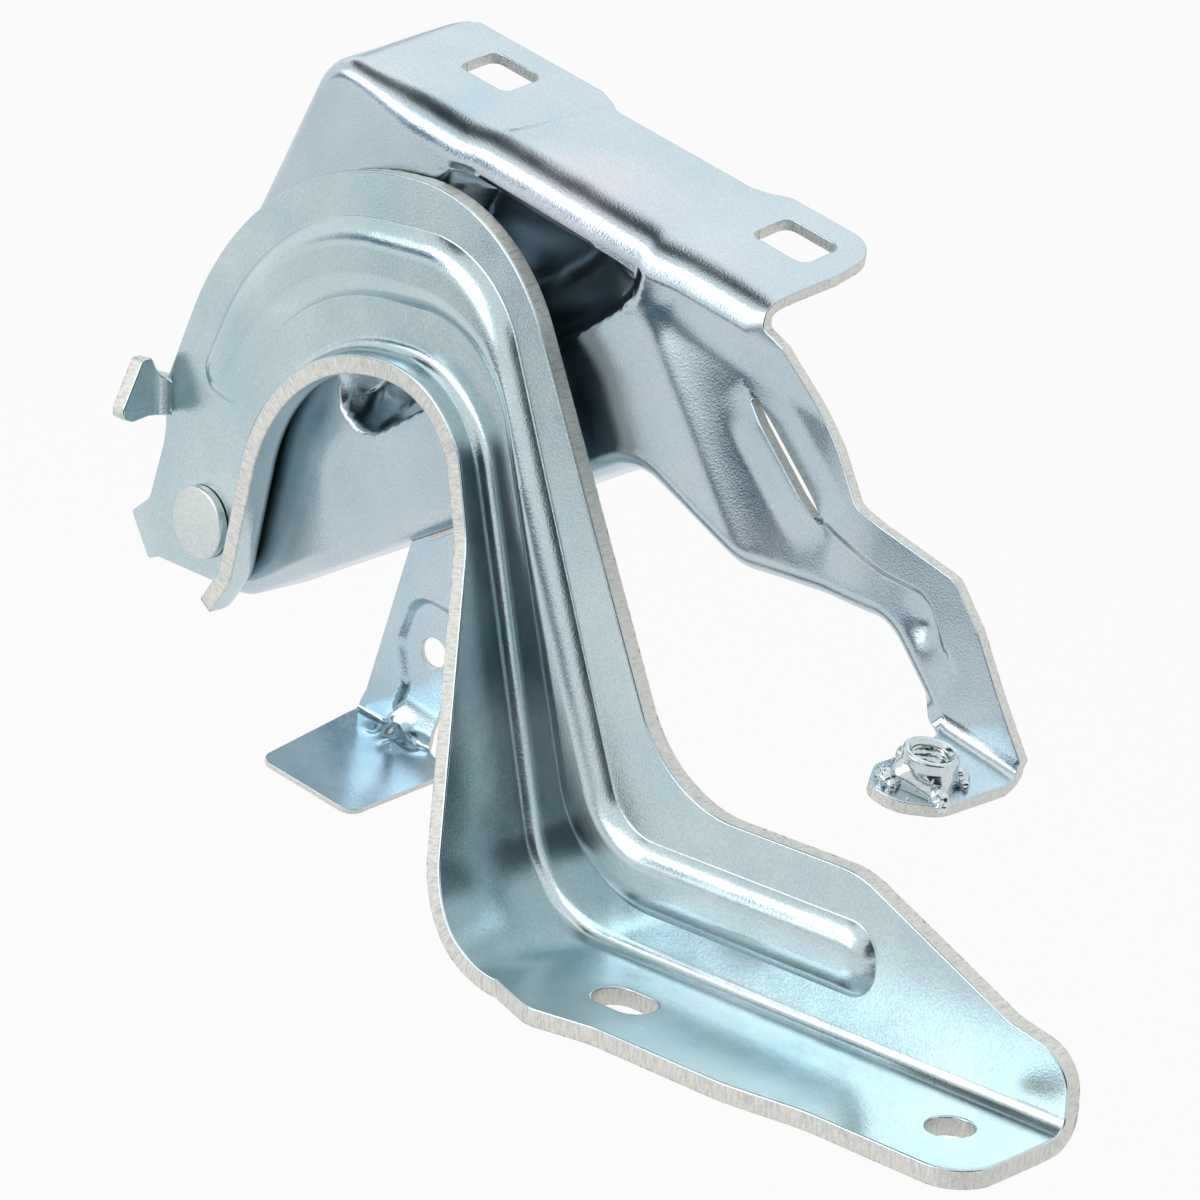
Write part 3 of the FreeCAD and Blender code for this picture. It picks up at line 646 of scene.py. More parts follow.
front = np.stack([flat[:, 0], PLATE_Y + press, flat[:, 1]], 1)
normal = unit(np.stack([slope_u, -np.ones(len(flat)), slope_w], 1))
thick = BRACKET_SHEET * np.minimum(np.sqrt(1 + slope_u ** 2 + slope_w ** 2), 2.4)
back = front + np.stack([0 * thick, thick, 0 * thick], 1)

ones = np.ones(top_zone.sum())
up = np.stack([0 * ones, ones], 1)
wide = wide[top_zone]
bend = TOP_BEND + wide / math.tan(TOP_ANGLE / 2)
old_run = TOP_BEND * TOP_ANGLE + 2 * wide
in_arc = np.clip((behind + wide) / old_run, 0, 1)
around = in_arc * bend * TOP_ANGLE + np.maximum(behind + wide - old_run, 0)
slid = press[top_zone] * math.sin(TOP_ANGLE) * ease(behind, 6.0, 30.0)
spot, facing = rib_point(level[top_zone], up, bend, TOP_ANGLE * ones, around - slid, press[top_zone])
front[top_zone], normal[top_zone] = spot, facing
back[top_zone] = spot - facing * BRACKET_SHEET
spot, facing = rib_point(rib_foot[rib[on_rib]], rib_way[rib[on_rib]], rib_bend[rib[on_rib]],
                         rib_angle[rib[on_rib]], far_out[on_rib], press[on_rib])
front[on_rib], normal[on_rib] = spot, facing
back[on_rib] = spot - facing * BRACKET_SHEET
down = FOOT_LINE - flat[foot_zone, 1]
a = np.minimum(down / FOOT_BEND, math.pi / 2)
rest = down - FOOT_BEND * a
front[foot_zone] = np.stack([flat[foot_zone, 0], PLATE_Y - FOOT_BEND * (1 - np.cos(a)) - rest,
                             FOOT_LINE - FOOT_BEND * np.sin(a)], 1)
normal[foot_zone] = np.stack([0 * a, -np.cos(a), np.sin(a)], 1)
back[foot_zone] = front[foot_zone] - normal[foot_zone] * BRACKET_SHEET


def turn_bracket(points):
    """From the bracket's own U, Y, W to the hinge's directions."""
    c, s = math.cos(BRACKET_TURN), math.sin(BRACKET_TURN)
    u, y, w = points.T
    return np.stack([u * c + w * s, y, w * c - u * s], 1)


bracket = pressing("bracket_pressing", flat, loops, turn_bracket(front), turn_bracket(normal),
                   turn_bracket(back), bracket_zinc, soft_edge=0.3, torn=0.08, seed=11)
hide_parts("body_bracket")
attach(bracket, "body_side")

# Gooseneck arm: 4 mm sheet steel, blanked, bent up along its inner edge and stiffened by a raised bead.
# It turns on the rivet and carries the bonnet on its wide flange with a round hole and a slot.
ARM_SHEET = 4.0
ARM_BEND = 3.0
BEAD_RISE = 3.0
BEAD_RUN = 6.0
BEND_RUN = ARM_BEND * math.pi / 2
FLANGE_LINE = [
    (6.5, -14.3, 0), (12.3, -7.0, 8), (26.7, 48.8, 42), (80.6, 48.8, 24), (106.3, -57.0, 22.5),
    (239.2, -57.0, 0),
]
NECK_EDGE = [(34.0, -6.3, 0), (18.0, -7.1, 25), (-52.5, -29.2, 14), (-66.0, -31.6, 0)]
SEAT_EDGE = [
    (125.2, -30.6, 0), (136.5, -34.6, 9), (151.0, -31.7, 14), (184.0, -31.7, 40), (202.0, -29.0, 40),
    (238.9, -29.0, 9), (238.9, -6.0, 20),
]
WEB_RIM = [
    (238.3, -54.0, 0), (238.3, -43.6, 9), (224.0, -40.4, 10), (187.0, -23.3, 20), (137.8, -23.3, 28),
    (88.0, 84.8, 40), (14.5, 84.8, 70), (-13.0, 28.3, 1), (-13.2, 16.0, 20), (-18.4, 1.0, 3),
    (-24.4, -3.2, 0.8), (-18.6, -12.8, 0.8), (-15.4, -11.6, 2), (2.0, -12.5, 2), (4.1, -12.4, 0),
]
BEAD = [
    (-3.0, 30.0, 6), (21.1, 75.3, 55), (86.3, 75.3, 28), (127.2, -32.5, 12), (193.0, -32.5, 7),
    (193.0, -48.0, 7), (114.1, -48.0, 28), (85.4, 59.0, 25), (29.1, 59.0, 46), (10.6, 27.0, 5),
]

NECK_END = 124.3
SEAT_UNFOLD = 55.712
BUSH_HOLE_RADIUS = 6.58
BOLT_RADIUS = 4.5
BONNET_HOLE = (223.5, -14.0)
SLOT_ENDS = (139.4, 153.6)
SLOT_MIDDLE = -17.9
SLOT_CORNER = 4.49

arm_foot = rounded_line(FLANGE_LINE, 1.0, closed=False)
arm_left = frame_of(arm_foot)[1]
neck = rounded_line(NECK_EDGE, 0.5, closed=False)
order = np.argsort(neck[:, 0])
edge_y = np.where(arm_foot[:, 0] > 58, np.interp(arm_foot[:, 1], neck[order, 0], neck[order, 1]), -6.3)
arm_reach = BEND_RUN - ARM_BEND - edge_y
flat, kind, rib, far_out = [], [], [], []


def arm_flat(which, far):
    """Place in the flat pattern of a point far out from the bend line of the flange."""
    return arm_foot[which] + arm_left[which] * (ARM_BEND - far)[:, None]


neck_ids = np.flatnonzero(arm_foot[:, 0] < NECK_END)
outline = add_points(arm_flat(neck_ids, arm_reach[neck_ids]), 1, neck_ids, arm_reach[neck_ids])
seat_flat = [(x, y - SEAT_UNFOLD, r) for x, y, r in SEAT_EDGE]
rest_line = rounded_line(seat_flat + WEB_RIM, 0.8, closed=False)
outline = np.concatenate([outline, add_points(rest_line, 0)])
cap = np.linspace(0.3, arm_reach[0] - 0.7, 9)
outline = np.concatenate([outline, add_points(arm_flat(np.zeros(9, int), cap), 1, np.zeros(9, int), cap)])
arm_outline = np.array(flat)
slot_at = SLOT_MIDDLE - SEAT_UNFOLD
a, b = SLOT_ENDS
slot_corners = [(a, slot_at - BOLT_RADIUS), (b, slot_at - BOLT_RADIUS),
                (b, slot_at + BOLT_RADIUS), (a, slot_at + BOLT_RADIUS)]
hole_lines = [ring((0.0, 0.0), BUSH_HOLE_RADIUS),
              ring((BONNET_HOLE[0], BONNET_HOLE[1] - SEAT_UNFOLD), BOLT_RADIUS),
              rounded_line([corner + (SLOT_CORNER,) for corner in slot_corners], 0.7)]
loops = [outline] + [add_points(line, 0) for line in hole_lines]

inner_ribs = np.arange(1, len(arm_foot) - 1)
for far in np.concatenate([np.linspace(0, BEND_RUN, 7), BEND_RUN + 0.9 + 1.1 * np.arange(30)]):
    far = np.full(len(inner_ribs), far)
    points = arm_flat(inner_ribs, far)
    keep = reach(points, arm_outline)[0] > 0.5
    for line in hole_lines:
        keep &= reach(points, line)[0] < -0.5
    add_points(points[keep], 1, inner_ribs[keep], far[keep])

bead_loop = rounded_line(BEAD, 0.8)
bead_rows = []
for inset in (-0.35, 0.0, 0.35, 0.8, 1.4, 2.1, 2.9, 3.8, 4.9, 6.0):
    row = bead_loop - outward(bead_loop) * inset
    right = np.abs(reach(row, bead_loop)[0] - inset) < 0.06
    bead_rows.append(row[right])
web_loop = np.concatenate([rest_line, arm_flat(inner_ribs, np.zeros(len(inner_ribs)))])
grid = honeycomb((-26, -58), (241, 86), 1.2)
grid = grid[reach(grid, web_loop)[0] > 0.7]
grid = grid[reach(grid, hole_lines[0])[0] < -0.6]
bead_far = reach(grid, bead_loop)[0]
grid = grid[(bead_far < -0.75) | (bead_far > 6.5)]
seams = []
for k, row in enumerate(bead_rows):
    row = row[reach(row, arm_outline)[0] > 0.5]
    ids = add_points(row, 0)
    if k == 1:
        seams.append(np.append(ids, ids[0]))
add_points(grid, 0)

flat, kind, rib, far_out = (np.array(part) for part in (flat, kind, rib, far_out))
seat_zone = (kind == 0) & (flat[:, 1] < -54.0) & (flat[:, 0] > 120)


def bead_relief(points):
    """How far the bead stands forward of the web, and its slope."""
    far, grow = reach(points, bead_loop)
    t = np.clip(far / BEAD_RUN, 0, 1)
    rise = BEAD_RISE * (1 - (1 - t) ** 2.2)
    steep = np.where((far > 0.02) & (far < BEAD_RUN), BEAD_RISE * 2.2 / BEAD_RUN * (1 - t) ** 1.2, 0)
    return rise, grow * steep[:, None]


rise, slope = bead_relief(flat)
front = np.stack([flat[:, 0], -rise, flat[:, 1]], 1)
normal = unit(np.stack([-slope[:, 0], -np.ones(len(flat)), -slope[:, 1]], 1))
thick = ARM_SHEET * np.minimum(np.sqrt(1 + (slope ** 2).sum(1)), 1.3)
back = front + np.stack([0 * thick, thick, 0 * thick], 1)


def fold_flange(foot, way, far):
    """Places and facing of points that lie far out on a flange folded up towards the viewer."""
    a = np.minimum(far / ARM_BEND, math.pi / 2)
    rest = far - ARM_BEND * a
    place = foot + way * (ARM_BEND * (1 - np.sin(a)))[:, None]
    y = -ARM_BEND * (1 - np.cos(a)) - rest
    facing = np.stack([way[:, 0] * np.sin(a), -np.cos(a), way[:, 1] * np.sin(a)], 1)
    return np.stack([place[:, 0], y, place[:, 1]], 1), facing


on_rib = kind == 1
front[on_rib], normal[on_rib] = fold_flange(arm_foot[rib[on_rib]], arm_left[rib[on_rib]], far_out[on_rib])
seat_foot = np.stack([flat[seat_zone, 0], np.full(seat_zone.sum(), -57.0)], 1)
seat_way = np.tile([0.0, 1.0], (seat_zone.sum(), 1))
front[seat_zone], normal[seat_zone] = fold_flange(seat_foot, seat_way, -54.0 - flat[seat_zone, 1])
folded = on_rib | seat_zone
back[folded] = front[folded] - normal[folded] * (ARM_SHEET - 0.01)

sheet_zinc = zinc_plate("zinc_on_sheet", (0.60, 0.70, 0.72), (0.46, 0.59, 0.63))
arm = pressing("gooseneck_pressing", flat, loops, front, normal, back, sheet_zinc, seams,
               soft_edge=0.45, torn=0.14, seed=5)

# the stop tab at the web's left side is folded towards the viewer
STOP_LINE = -13.3
STOP_TAB = [
    (0.3, 20.6, 0), (6.0, 20.9, 0), (10.3, 20.2, 0.8), (12.9, 21.2, 0.8), (12.9, 23.4, 0.8),
    (9.4, 30.2, 0), (7.7, 33.5, 1.0), (5.2, 33.7, 0.8), (3.5, 30.0, 1.5), (0.3, 28.4, 0),
]
tab_line = rounded_line(STOP_TAB, 0.5)
grid = honeycomb((0, 19), (14, 35), 0.8)
grid = grid[reach(grid, tab_line)[0] > 0.45]
flat = np.concatenate([tab_line, grid])
tab_foot = np.stack([np.full(len(flat), STOP_LINE), flat[:, 1]], 1)
front, normal = fold_flange(tab_foot, np.tile([1.0, 0.0], (len(flat), 1)), flat[:, 0])
tab = pressing("stop_tab", flat, [np.arange(len(tab_line))], front, normal, front - normal * ARM_SHEET,
               sheet_zinc, soft_edge=0.45, torn=0.2, seed=8)


def join(pieces):
    """One object out of several that are one piece of metal; the first keeps its name."""
    with bpy.context.temp_override(active_object=pieces[0], object=pieces[0], selected_objects=pieces,
                                   selected_editable_objects=pieces):
        bpy.ops.object.join()
    return pieces[0]


arm = join([arm, tab])
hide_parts("gooseneck_arm")
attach(arm, "bonnet_side")

# Stay: a thin 1.2 mm pressed strip spot welded under the bracket's lower side, with a flat foot.
# A hole, a shallow pressed field with an S-shaped edge, and crumpled dimples where the foot is folded.
STAY_SHEET = 1.2
STAY_TURN = math.radians(8.0)
STAY_U = 50.8
STAY_Y = 9.6
STAY_BEND = 1.0
STAY_FOLD = -21.5
STAY_EDGE = [
    (0.42, 19.5, 0), (-3.0, -17.5, 3), (-4.0, -21.0, 2), (-4.0, -25.1, 2), (-1.5, -56.0, 3.5),
    (23.5, -56.0, 3.5), (24.5, -26.1, 3), (15.6, -22.2, 1), (15.4, -17.0, 4), (17.0, 0.6, 6),
    (15.8, 32.0, 0),
]
STAY_FIELD = [
    (2.6, -3.1, 6), (4.4, 8.7, 5), (24.0, 8.7, 0), (24.0, -27.0, 0), (3.4, -27.0, 0), (6.4, -11.4, 5),
]
STAY_HOLE = ((10.9, -2.2), 3.3)
stay_line = rounded_line(STAY_EDGE, 0.7)
field_line = rounded_line(STAY_FIELD, 0.7)
stay_hole = ring(*STAY_HOLE, 0.5)
grid = honeycomb((-5, -57), (26, 33), 0.75)
grid = grid[(reach(grid, stay_line)[0] > 0.5) & (reach(grid, stay_hole)[0] < -0.5)]
flat = np.concatenate([stay_line, stay_hole, grid])
loops = [np.arange(len(stay_line)), len(stay_line) + np.arange(len(stay_hole))]


def stay_place(p):
    """Folds the stay's flat pattern and presses its field and dimples; gives place and facing."""
    def press(q):
        e, w = q[:, 0], q[:, 1]
        level = -1.2 * ease(reach(q, field_line)[0], -1.1, 1.1) * ease(w, -21.0, -14.5)
        level = level + 2.4 * np.exp(-((e - 7.2) / 2.6) ** 2 - ((w + 23.2) / 3.0) ** 2)
        level = level + 1.0 * np.exp(-((e - 10.5) / 1.6) ** 2 - ((w + 28.5) / 2.2) ** 2)
        level = level - 0.7 * np.exp(-((e - 3.8) / 1.8) ** 2 - ((w + 26.0) / 2.0) ** 2)
        return level - 0.9 * np.exp(-((e - 12.5) / 2.2) ** 2 - ((w + 24.0) / 2.4) ** 2)
    def bare(q):
        far = np.maximum(STAY_FOLD - q[:, 1], 0)
        a = np.minimum(far / STAY_BEND, math.pi / 2)
        rest = far - STAY_BEND * a
        w = np.maximum(q[:, 1], STAY_FOLD) - STAY_BEND * np.sin(a)
        n = -STAY_BEND * (1 - np.cos(a)) - rest
        facing = np.stack([0 * a, -np.cos(a), np.sin(a)], 1)
        return np.stack([q[:, 0], n, w], 1), facing
    def pressed(q):
        spot, facing = bare(q)
        return spot + facing * press(q)[:, None]
    h = 0.04
    along = pressed(p + [h, 0]) - pressed(p - [h, 0])
    across = pressed(p + [0, h]) - pressed(p - [0, h])
    return pressed(p), unit(np.cross(along, across))


def spun(points, angle):
    """Points turned about the third of their directions."""
    c, s = math.cos(angle), math.sin(angle)
    x, y, z = points.T
    return np.stack([x * c - y * s, x * s + y * c, z], 1)


front, normal = stay_place(flat)
normal *= np.sign((normal * np.array([0, -1.0, 1.0])).sum(1))[:, None]
back = front - normal * STAY_SHEET
shift = np.array([STAY_U, STAY_Y, 0.0])
thin_zinc = zinc_plate("zinc_on_stay", (0.55, 0.66, 0.72), (0.40, 0.54, 0.62), (0.14, 0.24), grain=0.3)
stay = pressing("stay_pressing", flat, loops, turn_bracket(spun(front, STAY_TURN) + shift),
                turn_bracket(spun(normal, STAY_TURN)), turn_bracket(spun(back, STAY_TURN) + shift),
                thin_zinc, soft_edge=0.16, torn=0.05, seed=21)

# its welding tab lies under the bracket's lower side
low, high = np.array([51.8, 19.95]), np.array([65.2, 31.05])
tab_line = rounded_line([(0.3, 10.2, 1), (17.0, 10.2, 1), (17.0, 20.7, 2.5), (0.3, 20.7, 2.5)], 0.6)
grid = honeycomb((0, 10), (18, 21), 1.2)
grid = grid[reach(grid, tab_line)[0] > 0.5]
flat = np.concatenate([tab_line, grid])
way = (high - low) / np.linalg.norm(high - low)
off = np.array([way[1], -way[0]])
spot_weld = 0.35 * np.exp(-((flat[:, 0] - 8.6) / 1.9) ** 2 - ((flat[:, 1] - 15.6) / 1.9) ** 2)
foot = low + way * flat[:, :1] + off * (STAY_SHEET - spot_weld)[:, None]
front = np.stack([foot[:, 0], flat[:, 1], foot[:, 1]], 1)
normal = np.tile([off[0], 0.0, off[1]], (len(flat), 1))
foot = low + way * flat[:, :1] + off * 0.02
back = np.stack([foot[:, 0], flat[:, 1], foot[:, 1]], 1)
lap = pressing("stay_lap", flat, [np.arange(len(tab_line))], turn_bracket(front), turn_bracket(normal),
               turn_bracket(back), thin_zinc, soft_edge=0.16, torn=0.05, seed=22)
stay = join([stay, lap])
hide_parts("stay_bracket")
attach(stay, "body_side")

# Weld nut: M8, forged steel with a square tapered base and a round collar, welded to the foot tab.
# Its bore is tapped, its base is turned 20 degrees on the foot.
NUT_AT = (204.4, -13.5, 54.1)
NUT_SPIN = math.radians(20.0)
NUT_SIDES = 96
nut_turn = np.arange(NUT_SIDES) * 2 * math.pi / NUT_SIDES
# height, half width and squareness of each row, from the foot over the collar and into the bore
nut_rows = [
    (0.03, 5.45, 6), (0.30, 5.6, 6), (1.0, 5.55, 5.5), (1.8, 5.45, 5), (2.5, 5.35, 4.2), (3.1, 5.25, 3.4),
    (3.6, 5.2, 3), (4.1, 5.06, 2.3), (4.6, 5.08, 2), (5.9, 5.2, 2), (6.25, 5.14, 2), (6.48, 4.98, 2),
    (6.58, 4.78, 2), (6.58, 4.35, 2), (6.5, 4.2, 2), (6.1, 3.8, 2), (5.85, 3.5, 2),
]
THREAD_PITCH = 1.25
THREAD_RADIUS = 3.33
THREAD_DEPTH = 0.62
BORE_RADIUS_BELOW = 3.8


def nut_row(radius, height):
    """One closed row of the nut's points."""
    return np.stack([radius * np.cos(nut_turn), radius * np.sin(nut_turn), np.full(NUT_SIDES, height)], 1)


nut_points = []
for height, half, power in nut_rows:
    c, s = np.abs(np.cos(nut_turn)), np.abs(np.sin(nut_turn))
    radius = half / (c ** power + s ** power) ** (1.0 / power)
    dent = 1 - 0.018 * np.sin(3 * nut_turn + height * 2) * (height < 4)
    nut_points.append(nut_row(radius * dent, height))
for height in np.arange(5.7, 0.2, -0.16):
    groove = np.abs(((height / THREAD_PITCH + nut_turn / (2 * math.pi)) % 1.0) * 2 - 1)
    lead_in = min(1.0, (5.95 - height) / 0.6)
    nut_points.append(nut_row(THREAD_RADIUS + THREAD_DEPTH * groove * lead_in, height))
nut_points.append(nut_row(BORE_RADIUS_BELOW, 0.03))
rows = len(nut_points)
nut_points = spun(np.concatenate(nut_points), NUT_SPIN) + NUT_AT
nut_faces = []
for row in range(rows):
    for k in range(NUT_SIDES):
        nxt = (k + 1) % NUT_SIDES
        low, high = row * NUT_SIDES, (row + 1) % rows * NUT_SIDES
        nut_faces.append((low + k, low + nxt, high + nxt, high + k))
nut_mesh = bpy.data.meshes.new("weld_nut_forging")
nut_mesh.from_pydata(to_frame(turn_bracket(nut_points)).tolist(), [], nut_faces)
nut_mesh.polygons.foreach_set("use_smooth", np.ones(len(nut_faces), bool))
nut_mesh.set_sharp_from_angle(angle=math.radians(38))
nut = shown("weld_nut_forging", nut_mesh)
nut_zinc = zinc_plate("zinc_on_nut", (0.66, 0.72, 0.73), (0.48, 0.56, 0.58), (0.10, 0.2), grain=0.6)
nut_mesh.materials.append(nut_zinc)
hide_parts("weld_nut")
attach(nut, "body_side")

# Weld beads: four irregular blobs at the nut's corners, with fine spatter round them on the foot.
# Grown as scattered balls with a rough skin, then kept as plain mesh.
rng = np.random.default_rng(31)
NUT_CORNERS = ((5.0, 5.0), (-5.0, 5.0), (-5.0, -5.0), (5.0, -5.0))
# place beside the corner, height and size of each ball that makes up one blob
BLOB_BALLS = ((0, 0, 0.7, 1.8), (1.4, -1.1, 0.5, 1.25), (-1.3, 1.0, 0.5, 1.35), (-0.3, -0.3, 1.7, 1.15))
BALLS_IN_ALL = 36
bead_spots, bead_sizes = [], []
for x, y in NUT_CORNERS:
    for dx, dy, rise, size in BLOB_BALLS:
        bead_spots.append((x + dx + rng.normal(0, 0.2), y + dy + rng.normal(0, 0.2), rise))
        bead_sizes.append(size * rng.uniform(0.85, 1.1))
while len(bead_spots) < BALLS_IN_ALL:
    angle, far = rng.uniform(0, 2 * math.pi), rng.uniform(7.0, 8.6)
    x, y = far * math.cos(angle), far * math.sin(angle)
    if x < 6.5 and abs(y) < 8.4:
        bead_spots.append((x, y, 0.08))
        bead_sizes.append(rng.uniform(0.16, 0.36))
spots = spun(np.array(bead_spots), NUT_SPIN) + NUT_AT
bead_mesh = bpy.data.meshes.new("nut_welds")
bead_mesh.from_pydata(to_frame(turn_bracket(spots)).tolist(), [], [])
size_of = bead_mesh.attributes.new("ball_size", "FLOAT", "POINT")
size_of.data.foreach_set("value", np.array(bead_sizes, np.float32))
beads = shown("nut_welds", bead_mesh)

weld_zinc = zinc_plate("zinc_on_welds", (0.68, 0.74, 0.76), (0.46, 0.55, 0.60), (0.08, 0.2), grain=0.8)
GROWTH = {
    "Unit": ("NodeSocketFloat", 0.001),
    "Lump height": ("NodeSocketFloat", 0.0010),
    "Lump scale": ("NodeSocketFloat", 620.0),
    "Metal": ("NodeSocketMaterial", weld_zinc),
}
growth = bpy.data.node_groups.new("weld_growth", "GeometryNodeTree")
face = growth.interface
face.new_socket("Points", in_out="INPUT", socket_type="NodeSocketGeometry")
keys = {name: face.new_socket(name, in_out="INPUT", socket_type=kind).identifier
        for name, (kind, value) in GROWTH.items()}
face.new_socket("Beads", in_out="OUTPUT", socket_type="NodeSocketGeometry")
given = add_node(growth, "NodeGroupInput").outputs
ball = add_node(growth, "GeometryNodeMeshIcoSphere", {"Subdivisions": 4, "Radius": given["Unit"]})
named = add_node(growth, "GeometryNodeInputNamedAttribute", {"Name": "ball_size"}, data_type="FLOAT")
spread = add_node(growth, "GeometryNodeInstanceOnPoints", {
    "Points": given["Points"], "Instance": ball.outputs["Mesh"], "Scale": named.outputs["Attribute"]})
solid = add_node(growth, "GeometryNodeRealizeInstances", {"Geometry": spread.outputs["Instances"]})
lump = add_node(growth, "ShaderNodeTexNoise", {"Scale": given["Lump scale"], "Detail": 2.0})
level = add_node(growth, "ShaderNodeMath", {0: lump.outputs["Fac"], 1: 0.5}, operation="SUBTRACT")
amount = add_node(growth, "ShaderNodeMath", {0: level.outputs[0], 1: given["Lump height"]},
                  operation="MULTIPLY")
out_way = add_node(growth, "GeometryNodeInputNormal")
push = add_node(growth, "ShaderNodeVectorMath", {0: out_way.outputs["Normal"], "Scale": amount.outputs[0]},
                operation="SCALE")
move = add_node(growth, "GeometryNodeSetPosition", {
    "Geometry": solid.outputs["Geometry"], "Offset": push.outputs["Vector"]})
smooth = add_node(growth, "GeometryNodeSetShadeSmooth", {"Geometry": move.outputs["Geometry"]})
paint = add_node(growth, "GeometryNodeSetMaterial", {
    "Geometry": smooth.outputs["Geometry"], "Material": given["Metal"]})
add_node(growth, "NodeGroupOutput", {"Beads": paint.outputs["Geometry"]})
grow_on = beads.modifiers.new("growth", "NODES")
grow_on.node_group = growth
for name, (kind, value) in GROWTH.items():
    grow_on[keys[name]] = value
bpy.context.view_layer.update()
grown = bpy.data.meshes.new_from_object(beads.evaluated_get(bpy.context.evaluated_depsgraph_get()))
beads.modifiers.clear()
beads.data = grown
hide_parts("nut_weld_beads")
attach(beads, "body_side")

# Rivet, bush and washer keep their drawn shapes: a flat-headed steel pin closed behind over a washer.
# The bush between arm and pin is sintered bronze; pin and washer are zinc plated.
rivet_zinc = zinc_plate("zinc_on_rivet", (0.72, 0.77, 0.76), (0.56, 0.63, 0.63), (0.26, 0.4), grain=0.5)
bush_bronze = zinc_plate("oiled_bronze", (0.60, 0.47, 0.28), (0.45, 0.34, 0.20), shine=(0.3, 0.45))
finishes = {"pivot_rivet": rivet_zinc, "back_washer": rivet_zinc, "pivot_bush": bush_bronze}
for node, finish in finishes.items():
    for place in frame["nodes"][node].material_slots:
        place.material = finish

# Studio: a pale floor and a white room all round, which light the hinge softly.
# Soft-edged dark cards show only in its gloss and give the bright plating its dark bands.
# Two soft lamps: a weak one overhead and a stronger one in front on the left.
FLOOR_LEVEL = -0.33
FLOOR_SIZE = 12.0
FLOOR_GLOW = 0.9
ROOM_LIGHT = 0.6


def seen_directly(tree):
    """1 for camera, glossy and transmission rays, 0 for all others."""
    rays = add_node(tree, "ShaderNodeLightPath").outputs
    total = rays["Is Camera Ray"]
    for other in ("Is Glossy Ray", "Is Transmission Ray"):
        total = add_node(tree, "ShaderNodeMath", {0: total, 1: rays[other]}, operation="ADD",
                         use_clamp=True).outputs[0]
    return total


def mixed(tree, share, low, high, kind):
    """Two shaders mixed by a share and tied to the tree's output of a kind."""
    inputs = {0: share, 1: low.outputs[0], 2: high.outputs[0]}
    mix = add_node(tree, "ShaderNodeMixShader", inputs)
    add_node(tree, "ShaderNodeOutput" + kind, {"Surface": mix.outputs[0]})


def flat_sheet(name, width, height, level=0.0):
    """A level rectangle round the origin, as a new object."""
    w, h = width / 2, height / 2
    mesh = bpy.data.meshes.new(name)
    mesh.from_pydata([(-w, -h, level), (w, -h, level), (w, h, level), (-w, h, level)], [], [(0, 1, 2, 3)])
    return shown(name, mesh)


world = bpy.data.worlds.new("studio")
bpy.context.scene.world = world
tree = nodes_of(world)
room = add_node(tree, "ShaderNodeBackground", {"Color": (0.95, 0.97, 1.0, 1), "Strength": ROOM_LIGHT})
white = add_node(tree, "ShaderNodeBackground", {"Color": (1, 1, 1, 1), "Strength": 1.0})
mixed(tree, seen_directly(tree), room, white, "World")

floor = flat_sheet("studio_floor", FLOOR_SIZE, FLOOR_SIZE, FLOOR_LEVEL)
floor_paint = bpy.data.materials.new("pale_floor")
tree = nodes_of(floor_paint)
paint = add_node(tree, "ShaderNodeBsdfDiffuse", {"Color": (0.9, 0.9, 0.9, 1)})
glow = add_node(tree, "ShaderNodeEmission", {"Color": (1, 1, 1, 1), "Strength": 1.0})
share = add_node(tree, "ShaderNodeMath", {0: seen_directly(tree), 1: FLOOR_GLOW}, operation="MULTIPLY")
mixed(tree, share.outputs[0], paint, glow, "Material")
floor.data.materials.append(floor_paint)


def facing_to(place, aim, axis):
    """Where an object stands that turns one of its axes to a point."""
    way = Vector(aim) - Vector(place)
    return Matrix.Translation(place) @ way.to_track_quat(axis, "Y").to_matrix().to_4x4()


def dark_card(name, place, aim, size, colour, soft, spin=0.0):
    """A card with soft edges that shows only in the gloss of the metal."""
    card = flat_sheet(name, *size)
    layer = card.data.uv_layers.new(name="card")
    for corner, at in zip(layer.data, ((-1, -1), (1, -1), (1, 1), (-1, 1))):
        corner.uv = at
    card.matrix_world = facing_to(place, aim, "Z") @ Matrix.Rotation(spin, 4, "Z")
    material = bpy.data.materials.new(name)
    tree = nodes_of(material)
    where = add_node(tree, "ShaderNodeUVMap", uv_map="card")
    split = add_node(tree, "ShaderNodeSeparateXYZ", {0: where.outputs["UV"]})
    cover = 1.0
    for axis, run in zip("XY", soft):
        away = add_node(tree, "ShaderNodeMath", {0: split.outputs[axis]}, operation="ABSOLUTE")
        inputs = {"Value": away.outputs[0], "From Min": 1.0, "From Max": 1.0 - run}
        edge = add_node(tree, "ShaderNodeMapRange", inputs, interpolation_type="SMOOTHSTEP")
        inputs = {0: cover, 1: edge.outputs["Result"]}
        cover = add_node(tree, "ShaderNodeMath", inputs, operation="MULTIPLY").outputs[0]
    clear = add_node(tree, "ShaderNodeBsdfTransparent")
    dark = add_node(tree, "ShaderNodeEmission", {"Color": (*colour, 1)})
    mixed(tree, cover, clear, dark, "Material")
    card.data.materials.append(material)
    for flag in ("camera", "diffuse", "transmission", "volume_scatter", "shadow"):
        setattr(card, "visible_" + flag, False)


def from_hinge(azimuth, elevation, distance):
    """A place seen from the hinge: azimuth from the front towards the right, elevation up, in degrees."""
    a, e = math.radians(azimuth), math.radians(elevation)
    return (distance * math.sin(a) * math.cos(e), -distance * math.cos(a) * math.cos(e) - 0.03,
            distance * math.sin(e) - 0.06)


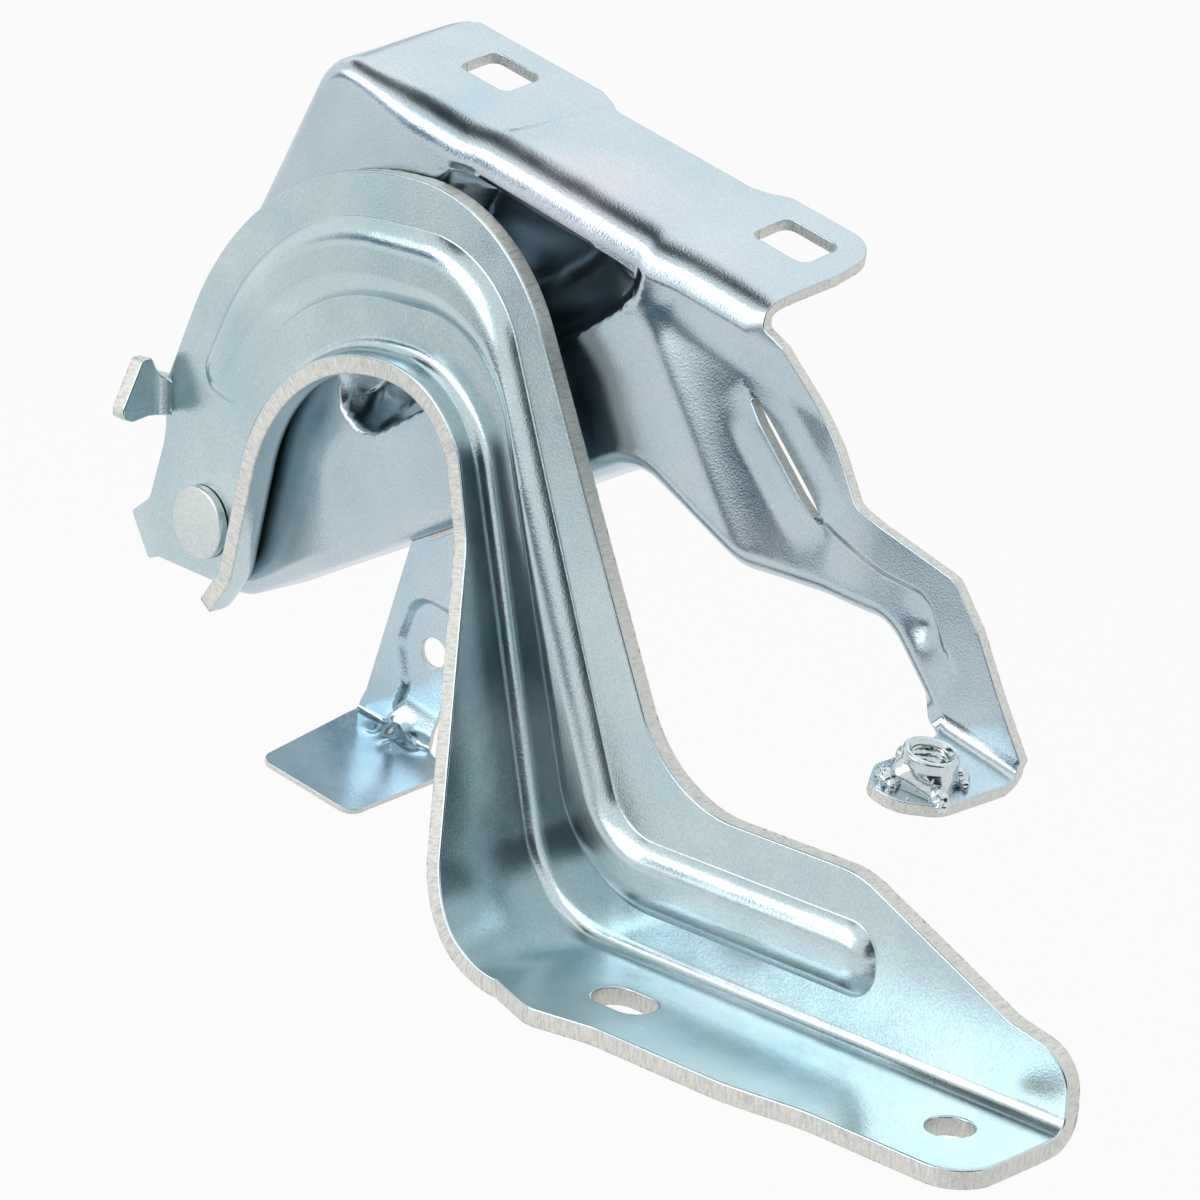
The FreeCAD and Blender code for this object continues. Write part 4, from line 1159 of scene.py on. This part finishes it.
HINGE = (0.0, -0.03, -0.06)
dark_card("right_card", from_hinge(64, 10, 1.2), HINGE, (1.75, 0.92), (0.022, 0.04, 0.055), (0.25, 0.35))
dark_card("high_card", from_hinge(-66, 59, 1.2), HINGE, (1.05, 0.46), (0.03, 0.045, 0.05), (0.35, 0.4))
dark_card("ground_card", (-0.15, -0.62, -0.150), (-0.15, -0.62, 1.0), (0.56, 0.80), (0.012, 0.06, 0.10),
          (0.55, 0.45), spin=0.35)
dark_card("near_card", (0.10, -0.33, -0.149), (0.10, -0.33, 1.0), (0.50, 0.22), (0.03, 0.12, 0.18),
          (0.5, 0.6), spin=0.15)
dark_card("left_card", from_hinge(-46, 12, 1.2), HINGE, (0.62, 0.42), (0.02, 0.09, 0.17), (0.5, 0.5))
dark_card("back_card", from_hinge(-150, 34, 1.1), HINGE, (1.0, 0.24), (0.10, 0.22, 0.30), (0.4, 0.6))

# name, place, size in metres and power in watts
LAMPS = (
    ("overhead_lamp", (-0.45, 0.35, 1.5), (2.2, 2.2), 4),
    ("front_lamp", (-0.64, -1.27, 0.42), (1.1, 0.8), 6.2),
)
for name, place, size, power in LAMPS:
    light = bpy.data.lights.new(name, "AREA")
    light.shape = "RECTANGLE"
    light.size, light.size_y = size
    light.energy = power
    shown(name, light).matrix_world = facing_to(place, HINGE, "-Z")

# Camera: a 120 mm lens at the photograph's viewing angle, above and to the right of the hinge.
camera_data = bpy.data.cameras.new("photo_camera")
camera_data.lens = 120.0
camera_data.sensor_width = 36.0
camera_data.sensor_height = 36.0
camera_data.sensor_fit = "HORIZONTAL"
camera = shown("photo_camera", camera_data)
CAMERA_AT = (0.528888, -0.556679, 0.149009)
CAMERA_RIGHT = (0.71083, 0.70205, 0.04299)
CAMERA_UP = (-0.23922, 0.18383, 0.95340)
CAMERA_BEHIND = (0.66143, -0.68799, 0.29862)
turn = Matrix((CAMERA_RIGHT, CAMERA_UP, CAMERA_BEHIND)).transposed().to_4x4()
camera.matrix_world = Matrix.Translation(CAMERA_AT) @ turn
bpy.context.scene.camera = camera
bpy.context.scene.view_settings.view_transform = "Standard"
